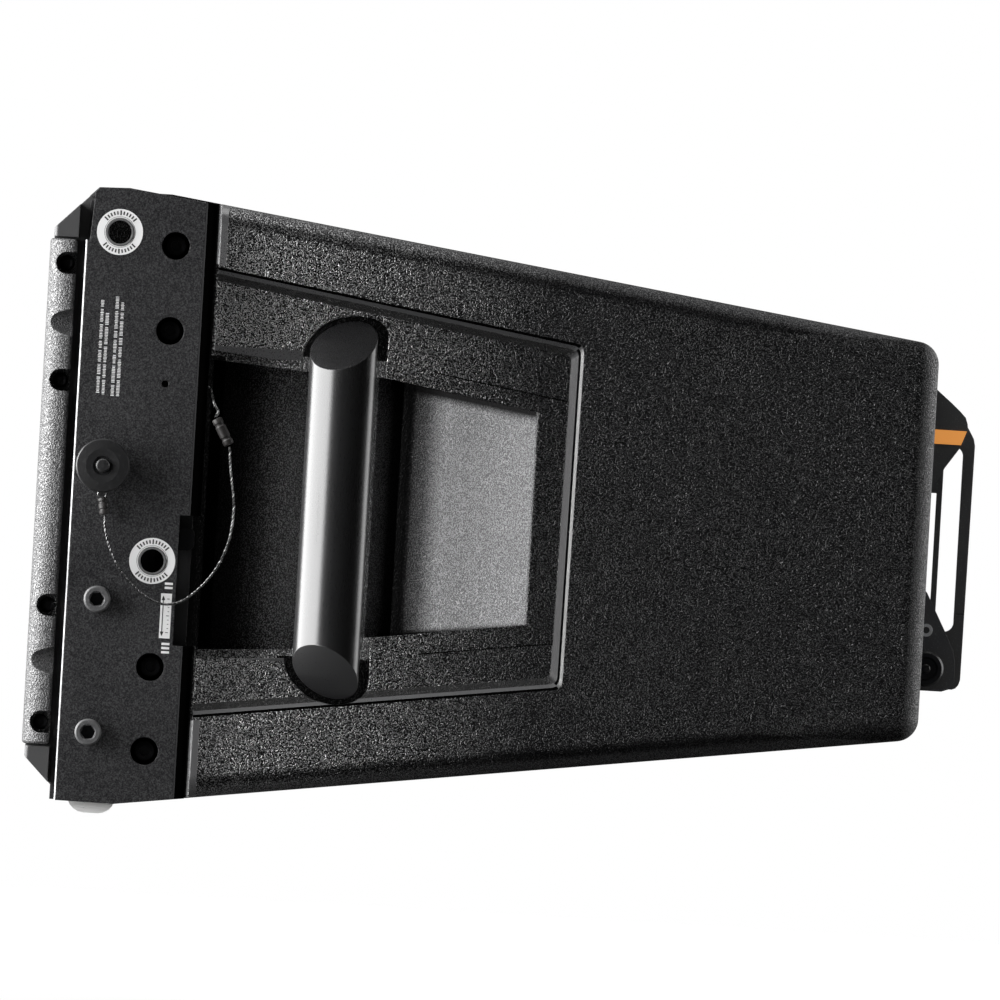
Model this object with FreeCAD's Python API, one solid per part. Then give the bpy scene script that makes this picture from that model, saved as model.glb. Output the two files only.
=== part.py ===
import FreeCAD, Part
import math
import os

# Two-way powered line array loudspeaker module with a trapezoidal side profile.
# Working frame, in millimetres: X across the width, Y from the front grille towards the
# rear, Z up from mid height.  The front faces -Y and "right" is +X.  Every piece is moved
# on saving, so that the origin is the centre of the overall box's bottom face.
# Clearances of a few hundredths keep touching pieces apart.

Vector = FreeCAD.Vector
ORIGIN = Vector(0, 0, 0)

# Overall
WIDTH = 569.0                      # over the two steel side plates
PLATE_T = 3.0
X_OUT = WIDTH / 2.0                # outer face of a side plate
X_IN = X_OUT - PLATE_T             # inner face of a side plate
Y_REARMOST = 448.4
Z_LOWEST = -151.4
SHIFT = Vector(0, -Y_REARMOST / 2.0, -Z_LOWEST)

# Cabinet
X_REC = 268.0                      # cabinet wall behind the side plate
X_SIDE = 276.0                     # cabinet side at the step
Y_STEP = 80.7                      # where the side steps out behind the plate
Y_FRONT, Y_BACK = 22.0, 426.5      # cabinet front edge and rear face
Z_FRONT = 145.0                    # half height at the front
Z_STEP = 141.7                     # half height at the step
SIDE_TAPER = math.tan(math.radians(8.0))   # plan taper of each side
Z_TAPER = 0.137                    # slope of top and bottom, 7.8 degrees each
Y_KNEE = Y_STEP - (Z_FRONT - Z_STEP) / Z_TAPER   # where that slope starts
WALL = 6.0
EDGE_R = 11.0                      # outer edges
PANEL_DEPTH = 6.0                  # depth of the recessed side panel

# Grip bar and the seats for its legs
BAR_X, BAR_Y, BAR_R = 250.0, 142.4, 16.0
BAR_TOP, BAR_BOTTOM = 89.0, -89.8
BOLTS = [(BAR_Y, 77.0), (BAR_Y, -78.5)]
SEAT_X = 226.0                     # floor of a seat

# Side rigging, places as (y, z)
LINK = (32.9, 125.6)               # front link hole
LOCK = (57.2, -29.9)               # locking hole
PARK = (31.3, 14.1)                # parked quick-release pin
PIN_HOLES = [LINK, LOCK, PARK]
HOLE_R = 5.6
BUSH_R = 6.6
PLATE_SCREWS = [(59.9, 120.5), (59.4, 79.9), (59.1, -80.4), (58.6, -120.5)]
PLATE_SCREW_R = 3.0                # hole for the shank
GUIDES = [(32.1, -49.5), (31.4, -113.0)]
GUIDE_R = 4.0
TRIM_SCREWS = [(8.6, z) for z in (109.5, 53.7, -53.6, -109.4)]

# Woofers
WOOFER_X = 139.0
Y_BAFFLE0, Y_BAFFLE1 = 58.0, 70.0
BASKET_SCREW_R = 120.0             # pitch circle radius
BASKET_ANGLES = [50, 90, 130, -50, -90, -130]


# ------------------------------------------------------------------ helpers
def polygon(points):
    return Part.makePolygon([Vector(*p) for p in points] + [Vector(*points[0])])


def prism_x(outline, x0, x1):
    """Outline of (y, z) points."""
    wire = polygon([(x0, y, z) for y, z in outline])
    return Part.Face(wire).extrude(Vector(x1 - x0, 0, 0))


def prism_z(outline, z0, z1):
    """Outline of (x, y) points."""
    wire = polygon([(x, y, z0) for x, y in outline])
    return Part.Face(wire).extrude(Vector(0, 0, z1 - z0))


def box(x0, x1, y0, y1, z0, z1):
    return Part.makeBox(x1 - x0, y1 - y0, z1 - z0, Vector(x0, y0, z0))


def cyl_x(x0, x1, y, z, radius):
    return Part.makeCylinder(radius, x1 - x0, Vector(x0, y, z), Vector(1, 0, 0))


def cyl_y(y0, y1, x, z, radius):
    return Part.makeCylinder(radius, y1 - y0, Vector(x, y0, z), Vector(0, 1, 0))


def ring_x(x0, x1, y, z, outer_r, inner_r):
    return cyl_x(x0, x1, y, z, outer_r).cut(cyl_x(x0 - 5, x1 + 5, y, z, inner_r))


def rod(start, end, radius):
    start, end = Vector(*start), Vector(*end)
    return Part.makeCylinder(radius, (end - start).Length, start, end - start)


def revolve_x(profile, y, z):
    """Closed profile of (radius, x), turned about the X axis through y, z."""
    face = Part.Face(polygon([(x, r, 0) for r, x in profile]))
    solid = face.revolve(ORIGIN, Vector(1, 0, 0), 360)
    solid.translate(Vector(0, y, z))
    return solid


def revolve_y(profile, x=0.0, z=0.0):
    """Closed profile of (radius, y), turned about the Y axis through x, z."""
    face = Part.Face(polygon([(r, y, 0) for r, y in profile]))
    solid = face.revolve(ORIGIN, Vector(0, 1, 0), 360)
    solid.translate(Vector(x, 0, z))
    return solid


def loft_x(outline_a, x_of_a, outline_b, x_of_b):
    """Ruled solid between two (y, z) outlines lying at X = x_of_a(y) and x_of_b(y)."""
    wires = [polygon([(x_of(y), y, z) for y, z in outline])
             for outline, x_of in ((outline_a, x_of_a), (outline_b, x_of_b))]
    return Part.makeLoft(wires, True, True)


def fuse(first, *others):
    for other in others:
        first = first.fuse(other)
    return first.removeSplitter()


def keep(shape):
    return shape


def mirror(shape):
    return shape.mirror(ORIGIN, Vector(1, 0, 0))


SIDES = (keep, mirror)             # right, then left


def pair(shape):
    return [shape, mirror(shape)]


def pairs(shapes):
    return [piece for shape in shapes for piece in pair(shape)]


def holes_x(shape, places, x0, x1, radius, side=keep):
    """Drills along X at each (y, z)."""
    for y, z in places:
        shape = shape.cut(side(cyl_x(x0, x1, y, z, radius)))
    return shape


def holes_y(shape, places, y0, y1, radius):
    """Drills along Y at each (x, z)."""
    for x, z in places:
        shape = shape.cut(cyl_y(y0, y1, x, z, radius))
    return shape


def polar(centre, radius, degrees):
    angle = math.radians(degrees)
    return centre[0] + radius * math.cos(angle), centre[1] + radius * math.sin(angle)


def slot_x(y0, z0, y1, z1, radius, x0, x1):
    """Round-ended slot along the line from (y0, z0) to (y1, z1)."""
    start, end = Vector(0, y0, z0), Vector(0, y1, z1)
    along = end - start
    offset = Vector(0, -along.z, along.y).normalize() * radius
    corners = [start + offset, end + offset, end - offset, start - offset]
    middle = prism_x([(p.y, p.z) for p in corners], x0, x1)
    return fuse(middle, cyl_x(x0, x1, y0, z0, radius), cyl_x(x0, x1, y1, z1, radius))


def round_corner(before, corner, after, reach, steps=5):
    """Points of a parabola that starts and ends at `reach` from the corner."""
    to_before = math.dist(before, corner)
    to_after = math.dist(after, corner)
    start = [c + (b - c) * reach / to_before for b, c in zip(before, corner)]
    end = [c + (a - c) * reach / to_after for a, c in zip(after, corner)]
    points = []
    for i in range(steps + 1):
        t = i / steps
        points.append(tuple((1 - t) ** 2 * s + 2 * t * (1 - t) * c + t * t * e
                            for s, c, e in zip(start, corner, end)))
    return points


def round_rear(outline, reach):
    """Rounds the two rear corners of a four-point outline."""
    front_top, rear_top, rear_bottom, front_bottom = outline
    return ([front_top] + round_corner(front_top, rear_top, rear_bottom, reach)
            + round_corner(rear_top, rear_bottom, front_bottom, reach) + [front_bottom])


def near(a, b, tolerance=0.3):
    return abs(a - b) < tolerance


def upright_at(x, y):
    """Edge test: both ends lie at x and y."""
    return lambda p, q: near(p.y, y) and near(q.y, y) and near(p.x, x) and near(q.x, x)


def try_fillet(shape, radius, test):
    """Rounds the edges whose two end points pass the test."""
    edges = [e for e in shape.Edges
             if len(e.Vertexes) == 2 and test(e.Vertexes[0].Point, e.Vertexes[1].Point)]
    if not edges:
        return shape
    # Guards against edges that have no room to be rounded all together.
    try:
        rounded = shape.makeFillet(radius, edges)
        if rounded.isValid() and rounded.Volume > 0:
            return rounded
    except Exception:
        pass
    # An edge that cannot be rounded on its own either stays sharp.
    for edge in edges:
        try:
            rounded = shape.makeFillet(radius, [edge])
            if rounded.isValid():
                shape = rounded
        except Exception:
            pass
    return shape


os.makedirs("parts", exist_ok=True)


def save(name, *shapes):
    solids = []
    for shape in shapes:
        moved = shape.copy()
        moved.translate(SHIFT)
        solids += moved.Solids or [moved]
    out = solids[0] if len(solids) == 1 else Part.makeCompound(solids)
    out.exportStep("parts/%s.step" % name)


def save_both(name, *shapes):
    """Saves the right-hand piece and its mirror image as two files."""
    save(name + "_right", *shapes)
    save(name + "_left", *[mirror(s) for s in shapes])


# ------------------------------------------------------------ cabinet shell
def side_x(y):
    """Cabinet side behind the step."""
    return X_SIDE - (y - Y_STEP) * SIDE_TAPER


def panel_x(y):
    """Recessed side panel."""
    return side_x(y) - PANEL_DEPTH


def top_z(y):
    return Z_STEP - (y - Y_STEP) * Z_TAPER


def tapered_body(half_plan, half_profile):
    """Solid from the right half of its plan (x, y) and the top half of its profile (y, z)."""
    plan = half_plan + [(-x, y) for x, y in reversed(half_plan)]
    profile = half_profile + [(y, -z) for y, z in reversed(half_profile)]
    return prism_z(plan, -160, 160).common(prism_x(profile, -300, 300))


def is_outer_edge(p, q):
    """Edges round the rear face, and those along the tapered sides."""
    return (near(p.y, Y_BACK) and near(q.y, Y_BACK)) or (
        min(p.y, q.y) > Y_STEP - 1 and max(p.y, q.y) > 400
        and abs(abs(p.x) - side_x(p.y)) < 0.5 and abs(abs(q.x) - side_x(q.y)) < 0.5)


def cabinet_outside():
    body = tapered_body(
        [(X_REC, Y_FRONT), (X_REC, Y_STEP), (X_SIDE, Y_STEP), (side_x(Y_BACK), Y_BACK)],
        [(Y_FRONT, Z_FRONT), (Y_KNEE, Z_FRONT), (Y_BACK, top_z(Y_BACK))])
    return try_fillet(body, EDGE_R, is_outer_edge)


def cabinet_inside():
    y_in = Y_BACK - WALL
    return tapered_body(
        [(X_REC - WALL, 10), (X_REC - WALL, 90), (side_x(262) - 12.5, 262),
         (side_x(268) - WALL, 268), (side_x(y_in) - WALL, y_in)],
        [(10, Z_FRONT - WALL), (56.0, Z_FRONT - WALL), (y_in, top_z(y_in) - WALL)])


# Grip pocket: a wedge that is deepest behind the bar and ramps back out to the side.
# Plans are (x, y), outlines (y, z); the second of each is the outside of its wall.
POCKET_PLAN = [
    (300, 81.0), (247.0, 81.0), (214.0, 140.0), (206.0, 160.0), (192.0, 172.0),
    (192.0, 178.0), (panel_x(237) - 1.0, 237.0), (300, 240.0)]
POCKET_WALL_PLAN = [
    (300, 76.0), (242.0, 76.0), (208.8, 137.5), (200.5, 157.0), (186.5, 170.0),
    (186.5, 182.0), (panel_x(247) - 3.5, 247.0), (300, 247.0)]
POCKET_OUTLINE = [
    (76.0, 68.0), (123.0, 64.5), (163.0, 63.5), (236.3, 51.5), (241.0, 51.0),
    (241.0, -50.0), (237.2, -50.1), (162.0, -60.6), (123.0, -68.5), (76.0, -71.0)]
POCKET_WALL_OUTLINE = [
    (76.0, 73.5), (124.0, 69.5), (164.0, 68.5), (247.0, 56.0), (247.0, -55.5),
    (163.0, -65.8), (124.0, -73.8), (76.0, -76.0)]

# Seats for the ends of the grip bar, as (y, z)
SEAT_TOP = [
    (123.0, 50.0), (123.0, 68.5), (123.2, 72.6), (124.3, 76.9), (126.7, 81.2), (129.9, 84.9),
    (133.7, 87.9), (137.1, 89.8), (141.6, 91.3), (146.8, 92.2), (152.3, 92.1), (156.2, 91.5),
    (159.6, 89.9), (162.0, 87.5), (163.2, 85.0), (163.5, 82.0), (163.4, 74.0), (163.2, 50.0)]
SEAT_BOTTOM = [
    (122.4, -50.0), (122.4, -71.9), (122.8, -75.6), (123.9, -79.0), (126.3, -82.9),
    (130.8, -87.4), (134.6, -90.2), (138.8, -92.0), (145.2, -93.3), (152.0, -93.0),
    (156.6, -91.6), (160.2, -89.2), (162.3, -86.4), (163.2, -83.0), (163.4, -79.0),
    (163.0, -50.0)]

# Side panel outlines, as (y, z)
PANEL_FLOOR = round_rear([(76.0, 106.0), (251.0, 79.0), (249.6, -74.6), (76.0, -97.6)], 3.0)
PANEL_RIM = round_rear([(76.0, 112.6), (257.3, 84.8), (255.8, -80.2), (76.0, -104.2)], 4.5)
POCKET_STEP = [(163.0, 65.6), (251.0, 58.2), (250.0, -59.3), (162.0, -68.6)]
LEAD_IN = [(76.0, 72.5), (124.0, 68.0), (124.0, -72.5), (76.0, -75.5)]


def pocket_walls(outside):
    pocket = prism_z(POCKET_WALL_PLAN, -120, 120).common(
        prism_x(POCKET_WALL_OUTLINE, 150, 310))
    seat_top = box(220.5, 310, 117.5, 168.7, 50.0, 97.2)
    seat_bottom = box(220.5, 310, 117.0, 168.5, -98.4, -50.0)
    limit = outside.common(box(150, 310, 76.0, 260, -120, 120))
    return fuse(pocket, seat_top, seat_bottom).common(limit)


def side_cuts():
    return [
        # recessed panel with a sloping rim, and the space outside that rim
        loft_x(PANEL_FLOOR, panel_x, PANEL_RIM, lambda y: side_x(y) + 0.2),
        loft_x(PANEL_RIM, lambda y: side_x(y) + 0.15, PANEL_RIM, lambda y: side_x(y) + 20.0),
        # shallow step around the pocket
        loft_x(POCKET_STEP, lambda y: panel_x(y) - 1.0, POCKET_STEP, lambda y: side_x(y) + 5),
        # smooth lead-in band in front of the bar
        loft_x(LEAD_IN, lambda y: panel_x(y) - 2.0, LEAD_IN, lambda y: side_x(y) + 5),
        prism_z(POCKET_PLAN, -120, 120).common(prism_x(POCKET_OUTLINE, 150, 310)),
        prism_x(SEAT_TOP, SEAT_X, 310),
        prism_x(SEAT_BOTTOM, SEAT_X, 310)]


# Rear opening and the amplifier panel in it: half width and half height
OPEN_X, OPEN_Z = 152, 82
PANEL_X, PANEL_Z = OPEN_X - 1, OPEN_Z - 1


def cabinet_shell():
    outside = cabinet_outside()
    shell = outside.cut(cabinet_inside())
    walls, cuts = pocket_walls(outside), side_cuts()
    for side in SIDES:
        shell = shell.fuse(side(walls))
        for tool in cuts:
            shell = shell.cut(side(tool))
    shell = shell.removeSplitter()

    # rear opening with a recessed ledge that carries the amplifier panel
    shell = shell.cut(box(-OPEN_X, OPEN_X, 410, 440, -OPEN_Z, OPEN_Z))
    ledge = box(-156, 156, 394, 421.0, -86, 86)
    ledge = ledge.cut(box(-OPEN_X, OPEN_X, 398, 430, -OPEN_Z, OPEN_Z))
    ledge = ledge.cut(box(-140, 140, 390, 430, -70, 70))
    shell = fuse(shell, ledge)

    # lined slot in the top edge that lets the rear link arm rise
    lining = box(-13.0, 13.0, 398.0, Y_BACK, OPEN_Z, 110.0).common(outside)
    shell = fuse(shell, lining).cut(box(-7.0, 7.0, 408.0, 440.0, 80.0, 110.0))

    # closed cups behind the upper link holes keep the cabinet airtight
    for side in SIDES:
        shell = shell.fuse(side(cyl_x(248.0, X_REC - 0.5, *LINK, 9.5).common(outside)))

    for side in SIDES:
        shell = holes_x(shell, PIN_HOLES, 251, 275, 6.5, side)
        shell = holes_x(shell, PLATE_SCREWS, 255, 275, PLATE_SCREW_R, side)
        shell = holes_x(shell, GUIDES, 255, 275, GUIDE_R, side)
        shell = holes_x(shell, BOLTS, 215, 228, 3.0, side)
    return shell


save("cabinet_shell", cabinet_shell())

# ------------------------------------------------------ front frame and trims
FRAME_Y0, FRAME_Y1 = 1.7, 21.9
FRAME_Z0, FRAME_Z1 = 126.1, 146.3  # half height at the front and at the rear
TRIM_X, TRIM_Y = 283.0, 13.0       # outer face and rear face
TRIM_SCREW_R = 1.95


def front_frame():
    profile = [(FRAME_Y0, FRAME_Z0), (FRAME_Y1, FRAME_Z1),
               (FRAME_Y1, -FRAME_Z1), (FRAME_Y0, -FRAME_Z0)]
    frame = prism_x(profile, -281.0, 281.0)
    frame = frame.cut(box(-258, 258, -5, 30, -121.6, 121.6))
    frame = try_fillet(frame, 2.0, lambda p, q: (
        near(p.y, FRAME_Y0) and near(q.y, FRAME_Y0)
        and near(abs(p.z), FRAME_Z0) and near(abs(q.z), FRAME_Z0)))
    for side in SIDES:
        # room for the trim, then for the side plate
        frame = frame.cut(side(box(X_REC - 0.2, 290, -5, 30, -121.0, 122.0)))
        frame = frame.cut(side(box(X_REC - 0.2, 290, 13.4, 30, -150.0, 142.0)))
        frame = holes_x(frame, TRIM_SCREWS, 259.5, 270, TRIM_SCREW_R, side)
    return frame


def front_trim():
    trim = box(X_REC, TRIM_X, 0.0, TRIM_Y, -120.0, 121.0)
    trim = try_fillet(trim, 9.5, upright_at(TRIM_X, 0))
    trim = try_fillet(trim, 2.2, upright_at(TRIM_X, TRIM_Y))
    trim = try_fillet(trim, 1.6, lambda p, q: (
        near(p.z, q.z) and near(abs(p.z), 120.5, 0.8) and max(p.x, q.x) > 270))
    for y, z in TRIM_SCREWS:
        # notch for the head, open to the rear
        trim = trim.cut(fuse(cyl_x(271, 290, y, z, 5.2),
                             box(271, 290, y, 20, z - 5.2, z + 5.2)))
        trim = trim.cut(cyl_x(260, 275, y, z, TRIM_SCREW_R))
    for z in (81.2, -80.0):
        # conical scoop in the front outer edge
        trim = trim.cut(Part.makeCone(2.6, 7.4, 17.0, Vector(283.6, -2.0, z),
                                      Vector(0, 1, 0)))
    return trim


TRIM_SCREW = [
    (0, 260.0), (1.9, 260.0), (1.9, 271.05), (3.6, 271.05), (3.6, 272.2), (2.6, 273.4),
    (1.3, 273.8), (1.3, 272.6), (0, 272.6)]

save("front_frame", front_frame())
save("front_trims", *pair(front_trim()))
save("trim_screws", *pairs(revolve_x(TRIM_SCREW, y, z) for y, z in TRIM_SCREWS))

# grille sheet with folded edges, and the foam behind it
GRILLE_X, GRILLE_Z, GRILLE_T = 257.6, 121.2, 1.2
fold_x, fold_z = GRILLE_X - GRILLE_T, GRILLE_Z - GRILLE_T
grille = box(-GRILLE_X, GRILLE_X, 1.6, 11.0, -GRILLE_Z, GRILLE_Z)
save("front_grille", grille.cut(box(-fold_x, fold_x, 1.6 + GRILLE_T, 20, -fold_z, fold_z)))
save("grille_foam", box(-255.8, 255.8, 3.0, 8.6, -119.4, 119.4))


# ------------------------------------------------- woofers and their baffle
def basket_screws(centre_x):
    return [polar((centre_x, 0), BASKET_SCREW_R, a) for a in BASKET_ANGLES]


def woofer_baffle():
    baffle = box(-261.5, 261.5, Y_BAFFLE0, Y_BAFFLE1, -136.4, 136.4)
    baffle = baffle.cut(box(-17.7, 17.7, 50, 80, -118.6, 118.6))
    for side, centre_x in zip(SIDES, (WOOFER_X, -WOOFER_X)):
        baffle = baffle.cut(cyl_y(50, 80, centre_x, 0, 114.0))
        baffle = holes_y(baffle, basket_screws(centre_x), 50, 67, 2.05)
        baffle = holes_x(baffle, PLATE_SCREWS, 256.5, 265, PLATE_SCREW_R, side)
    return baffle


# Turned woofer pieces, as (radius, y)
BASKET = [
    (126, 52), (126, 57.95), (113.5, 57.95), (112.5, 62), (95, 82), (72, 108), (60, 114),
    (60, 118), (36.5, 118), (36.5, 115), (57.5, 111), (69, 105), (92, 79.5), (109.3, 60),
    (109.3, 58), (111.6, 58), (111.6, 52)]
WOOFER_SCREW = [
    (0, 66), (2.0, 66), (2.0, 51.95), (3.8, 51.95), (3.8, 50.6), (2.8, 49.6), (0, 49.6)]
MAGNET = [
    (0, 118.1), (30.2, 118.1), (30.2, 143), (33.4, 143), (33.4, 118.1), (54, 118.1),
    (54, 154), (52, 156), (0, 156)]
SURROUND = [
    (95.5, 56.2), (96.2, 52.6), (99.0, 49.6), (103.4, 48.4), (107.8, 49.6), (110.6, 52.6),
    (111.4, 56.2), (110.2, 56.2), (109.4, 53.2), (107.2, 50.9), (103.4, 49.8), (99.6, 50.9),
    (97.4, 53.2), (96.7, 56.2)]
SPIDER = [(34.8, 104.5), (66.2, 104.5), (66.2, 105.3), (34.8, 105.3)]
CONE = [(95.2, 55.6), (34.2, 97.0), (34.2, 102.8), (32.4, 102.8), (32.4, 96.6), (94.6, 54.2)]
DUST_CAP = [
    (0, 78.0), (14, 79.4), (28, 84.2), (41.0, 90.6), (40.2, 91.2), (27.6, 85.2),
    (13.8, 80.6), (0, 79.2)]
COIL = [(31.3, 97.2), (32.2, 97.2), (32.2, 137), (31.3, 137)]


def woofer_basket():
    basket = revolve_y(BASKET, WOOFER_X)
    # flat sides on the round flange
    basket = basket.common(box(20.6, 260.0, 40, 130, -140, 140))
    for angle in range(0, 360, 60):
        window = box(-16, 16, 84, 103, 60, 130)
        window.rotate(ORIGIN, Vector(0, 1, 0), angle + 30)
        window.translate(Vector(WOOFER_X, 0, 0))
        basket = basket.cut(window)
    return holes_y(basket, basket_screws(WOOFER_X), 45, 60, 2.05)


save("woofer_baffle", woofer_baffle())
save("woofer_baskets", *pair(woofer_basket()))
save("woofer_screws",
     *pairs(revolve_y(WOOFER_SCREW, x, z) for x, z in basket_screws(WOOFER_X)))
save("woofer_magnets", *pair(revolve_y(MAGNET, WOOFER_X)))
save("woofer_surrounds", *pair(revolve_y(SURROUND, WOOFER_X)))
save("woofer_spiders", *pair(revolve_y(SPIDER, WOOFER_X)))
save_both("woofer_cone", revolve_y(CONE, WOOFER_X), revolve_y(DUST_CAP, WOOFER_X))
save_both("voice_coil", revolve_y(COIL, WOOFER_X))

# ------------------------------------------------ high-frequency section
# Waveguide stations, as (y, half width, half height)
GUIDE_OUTSIDE = [(12.0, 84.0, 120.5), (28.0, 52.0, 119.5), (49.5, 17.3, 118.0),
                 (76.0, 17.3, 118.0), (146.0, 30.0, 30.0)]
GUIDE_INSIDE = [(11.9, 81.4, 118.0), (28.0, 49.4, 117.2), (49.5, 14.6, 115.4),
                (76.0, 14.6, 115.4), (146.1, 17.0, 17.0)]
DRIVER_BODY = [
    (17.6, 146.2), (52, 146.2), (52, 152), (46, 152), (46, 196), (42, 200), (0, 200),
    (0, 192), (36.5, 192), (36.5, 165), (17.6, 165)]
PLUG = [(0, 150.0), (6, 156), (12, 165.3), (35.9, 165.3), (35.9, 176), (0, 182)]
DIAPHRAGM = [
    (0, 184), (18, 185.2), (32, 189), (35.6, 189), (35.6, 189.8), (31.6, 189.8),
    (17.7, 186), (0, 184.8)]


def duct(stations):
    wires = [polygon([(-hx, y, -hz), (hx, y, -hz), (hx, y, hz), (-hx, y, hz)])
             for y, hx, hz in stations]
    lofts = [Part.makeLoft([a, b], True, True) for a, b in zip(wires, wires[1:])]
    out = lofts[0]
    for loft in lofts[1:]:
        out = out.fuse(loft)
    return out


save("waveguide", duct(GUIDE_OUTSIDE).cut(duct(GUIDE_INSIDE)))
save("compression_driver", revolve_y(DRIVER_BODY))
plug_holes = [polar((0, 0), 22, angle) for angle in range(0, 360, 45)]
save("phase_plug", holes_y(revolve_y(PLUG), plug_holes, 160, 190, 2.2))
save("compression_diaphragm", revolve_y(DIAPHRAGM))

# ------------------------------------------------------ steel side plates
PLATE_Y0, PLATE_Y1 = 16.9, 78.8
X_BACK_PLATE = 271.0               # outer face of the back plate
# Outlines as (y, z)
PLATE = [
    (22.2, 146.4), (36.5, 146.8), (PLATE_Y1, 141.2), (PLATE_Y1, -142.0), (45.3, -146.5),
    (PLATE_Y0, -146.2), (PLATE_Y0, 121.0), (18.9, 121.0), (20.3, 143.8)]
BACK_PLATE = [
    (14.6, 120.6), (18.2, 120.6), (18.2, 140.0), (75.4, 137.0), (75.4, -138.0),
    (45.0, -146.2), (14.6, -145.9)]
# the lanyard is tied to the flange here
ANCHOR_X, ANCHOR_Z = 277.5, 54.6


def side_plate():
    flange = box(X_BACK_PLATE + 0.05, X_IN, PLATE_Y1 - PLATE_T, PLATE_Y1, -141.8, 141.0)
    plate = fuse(prism_x(PLATE, X_IN, X_OUT), flange)
    plate = try_fillet(plate, 2.6, upright_at(X_OUT, PLATE_Y1))
    plate = try_fillet(plate, 1.1, upright_at(X_OUT, PLATE_Y0))
    # opening for the bracket's thumb lug
    plate = plate.cut(box(260, 300, 69.2, 90, -69.6, -7.4))
    plate = plate.cut(cyl_y(70, 85, ANCHOR_X, ANCHOR_Z, 1.6))
    plate = plate.cut(cyl_x(270, 300, 58.5, ANCHOR_Z, 1.7))
    plate = holes_x(plate, PIN_HOLES, 270, 300, BUSH_R + 0.02)
    plate = holes_x(plate, PLATE_SCREWS, 280, 300, 6.7)
    return holes_x(plate, GUIDES, 280, 300, 4.3)


def back_plate():
    back = prism_x(BACK_PLATE, X_REC + 0.02, X_BACK_PLATE)
    back = holes_x(back, PIN_HOLES, 260, 280, HOLE_R)
    back = holes_x(back, PLATE_SCREWS, 260, 280, PLATE_SCREW_R)
    return holes_x(back, GUIDES, 260, 280, GUIDE_R)


# Screws as (radius, x)
PLATE_SCREW = [
    (0, 257.0), (2.95, 257.0), (2.95, 271.05), (6.2, 271.05), (6.2, 273.6), (4.6, 275.4),
    (2.4, 275.8), (2.4, 273.2), (0, 273.2)]
GUIDE_SCREW = [
    (0, 262.3), (3.95, 262.3), (3.95, X_OUT + 0.03), (6.4, X_OUT + 0.03),
    (6.4, X_OUT + 7.0), (5.6, X_OUT + 8.0), (0, X_OUT + 8.0)]


def guide_screw(y, z):
    """Screw with a hexagon socket and a chamfered mouth."""
    screw = revolve_x(GUIDE_SCREW, y, z)
    hexagon = [polar((y, z), 3.46, angle) for angle in range(10, 370, 60)]
    screw = screw.cut(prism_x(hexagon, X_OUT + 3.4, X_OUT + 9.0))
    return screw.cut(Part.makeCone(3.3, 3.9, 0.7, Vector(X_OUT + 7.4, y, z),
                                   Vector(1, 0, 0)))


save_both("side_plate", side_plate())
save("back_plates", *pair(back_plate()))
save("plate_spacers", *pairs(
    ring_x(X_BACK_PLATE + 0.02, X_IN - 0.02, y, z, 9.3, 6.7) for y, z in PLATE_SCREWS))
save("plate_screws", *pairs(revolve_x(PLATE_SCREW, y, z) for y, z in PLATE_SCREWS))
save("guide_screws", *pairs(guide_screw(y, z) for y, z in GUIDES))
save("label_rings", *pairs(
    ring_x(X_OUT + 0.02, X_OUT + 0.22, y, z, 11.0, BUSH_R + 0.2) for y, z in PIN_HOLES))

# ------------------------------------------------------- front link bracket
BRACKET_X0, BRACKET_X1 = 272.0, 279.0
BRACKET_Y0, BRACKET_Y1 = 23.8, 45.3
BRACKET_TRAVEL = 45.0
LUG_Y = 76.5                       # rear face of the thumb lug
# Rounded lower end, as (y, z)
BRACKET_FOOT = [
    (BRACKET_Y0, -140.6), (BRACKET_Y0, -146.2), (24.6, -147.9), (26.2, -149.6),
    (28.6, -150.9), (31.2, Z_LOWEST), (38.2, Z_LOWEST), (40.6, -150.9), (43.2, -149.5),
    (44.7, -147.8), (BRACKET_Y1, -146.2), (BRACKET_Y1, -140.6)]


def front_bracket():
    """Sliding slotted bar with a locking arm and a thumb lug."""
    bracket = fuse(
        box(BRACKET_X0, BRACKET_X1, BRACKET_Y0, BRACKET_Y1, -140.65, 4.0),
        prism_x(BRACKET_FOOT, BRACKET_X0, BRACKET_X1),
        box(BRACKET_X0, BRACKET_X1, 45.0, 66.0, -24.0, 23.0),
        box(BRACKET_X0, BRACKET_X1 + 1.0, 66.0, LUG_Y, -24.0, -13.2))
    for y, z in GUIDES:
        bracket = bracket.cut(slot_x(y, z, y, z + BRACKET_TRAVEL, 4.3, 260, 290))
    places = [(LINK[0], -125.4), (LOCK[0], LOCK[1] + BRACKET_TRAVEL)]
    bracket = holes_x(bracket, places, 260, 290, HOLE_R)
    return try_fillet(bracket, 3.0, lambda p, q: (
        near(p.y, LUG_Y) and near(q.y, LUG_Y) and near(p.z, q.z)))


save_both("front_bracket", front_bracket())

# ------------------------------------------- quick-release pin and lanyard
# Turned pieces, as (radius, x)
QUICK_PIN = [
    (0, 258.0), (4.2, 258.0), (5.5, 259.5), (5.5, 285.4), (7.6, 285.4), (7.6, 288.0),
    (5.5, 288.0), (5.5, 292.0), (10.4, 292.0), (12.85, 294.4), (12.85, 301.0),
    (12.3, 302.0), (8.0, 302.5), (4.6, 302.3), (4.2, 301.4), (3.36, 301.4), (3.36, 295.8),
    (1.6, 295.8), (1.6, 260.0), (0, 260.0)]
PIN_BUTTON = [
    (0, 264.0), (1.5, 264.0), (1.5, 299.2), (3.26, 299.2), (3.26, 303.9), (2.7, 304.5),
    (0, 304.7)]
TAB = [(27.0, 12), (36.0, 12), (34.6, -0.4), (29.6, -0.4)]   # (y, z)
TAB_X0, TAB_X1 = 288.6, 290.2


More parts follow.
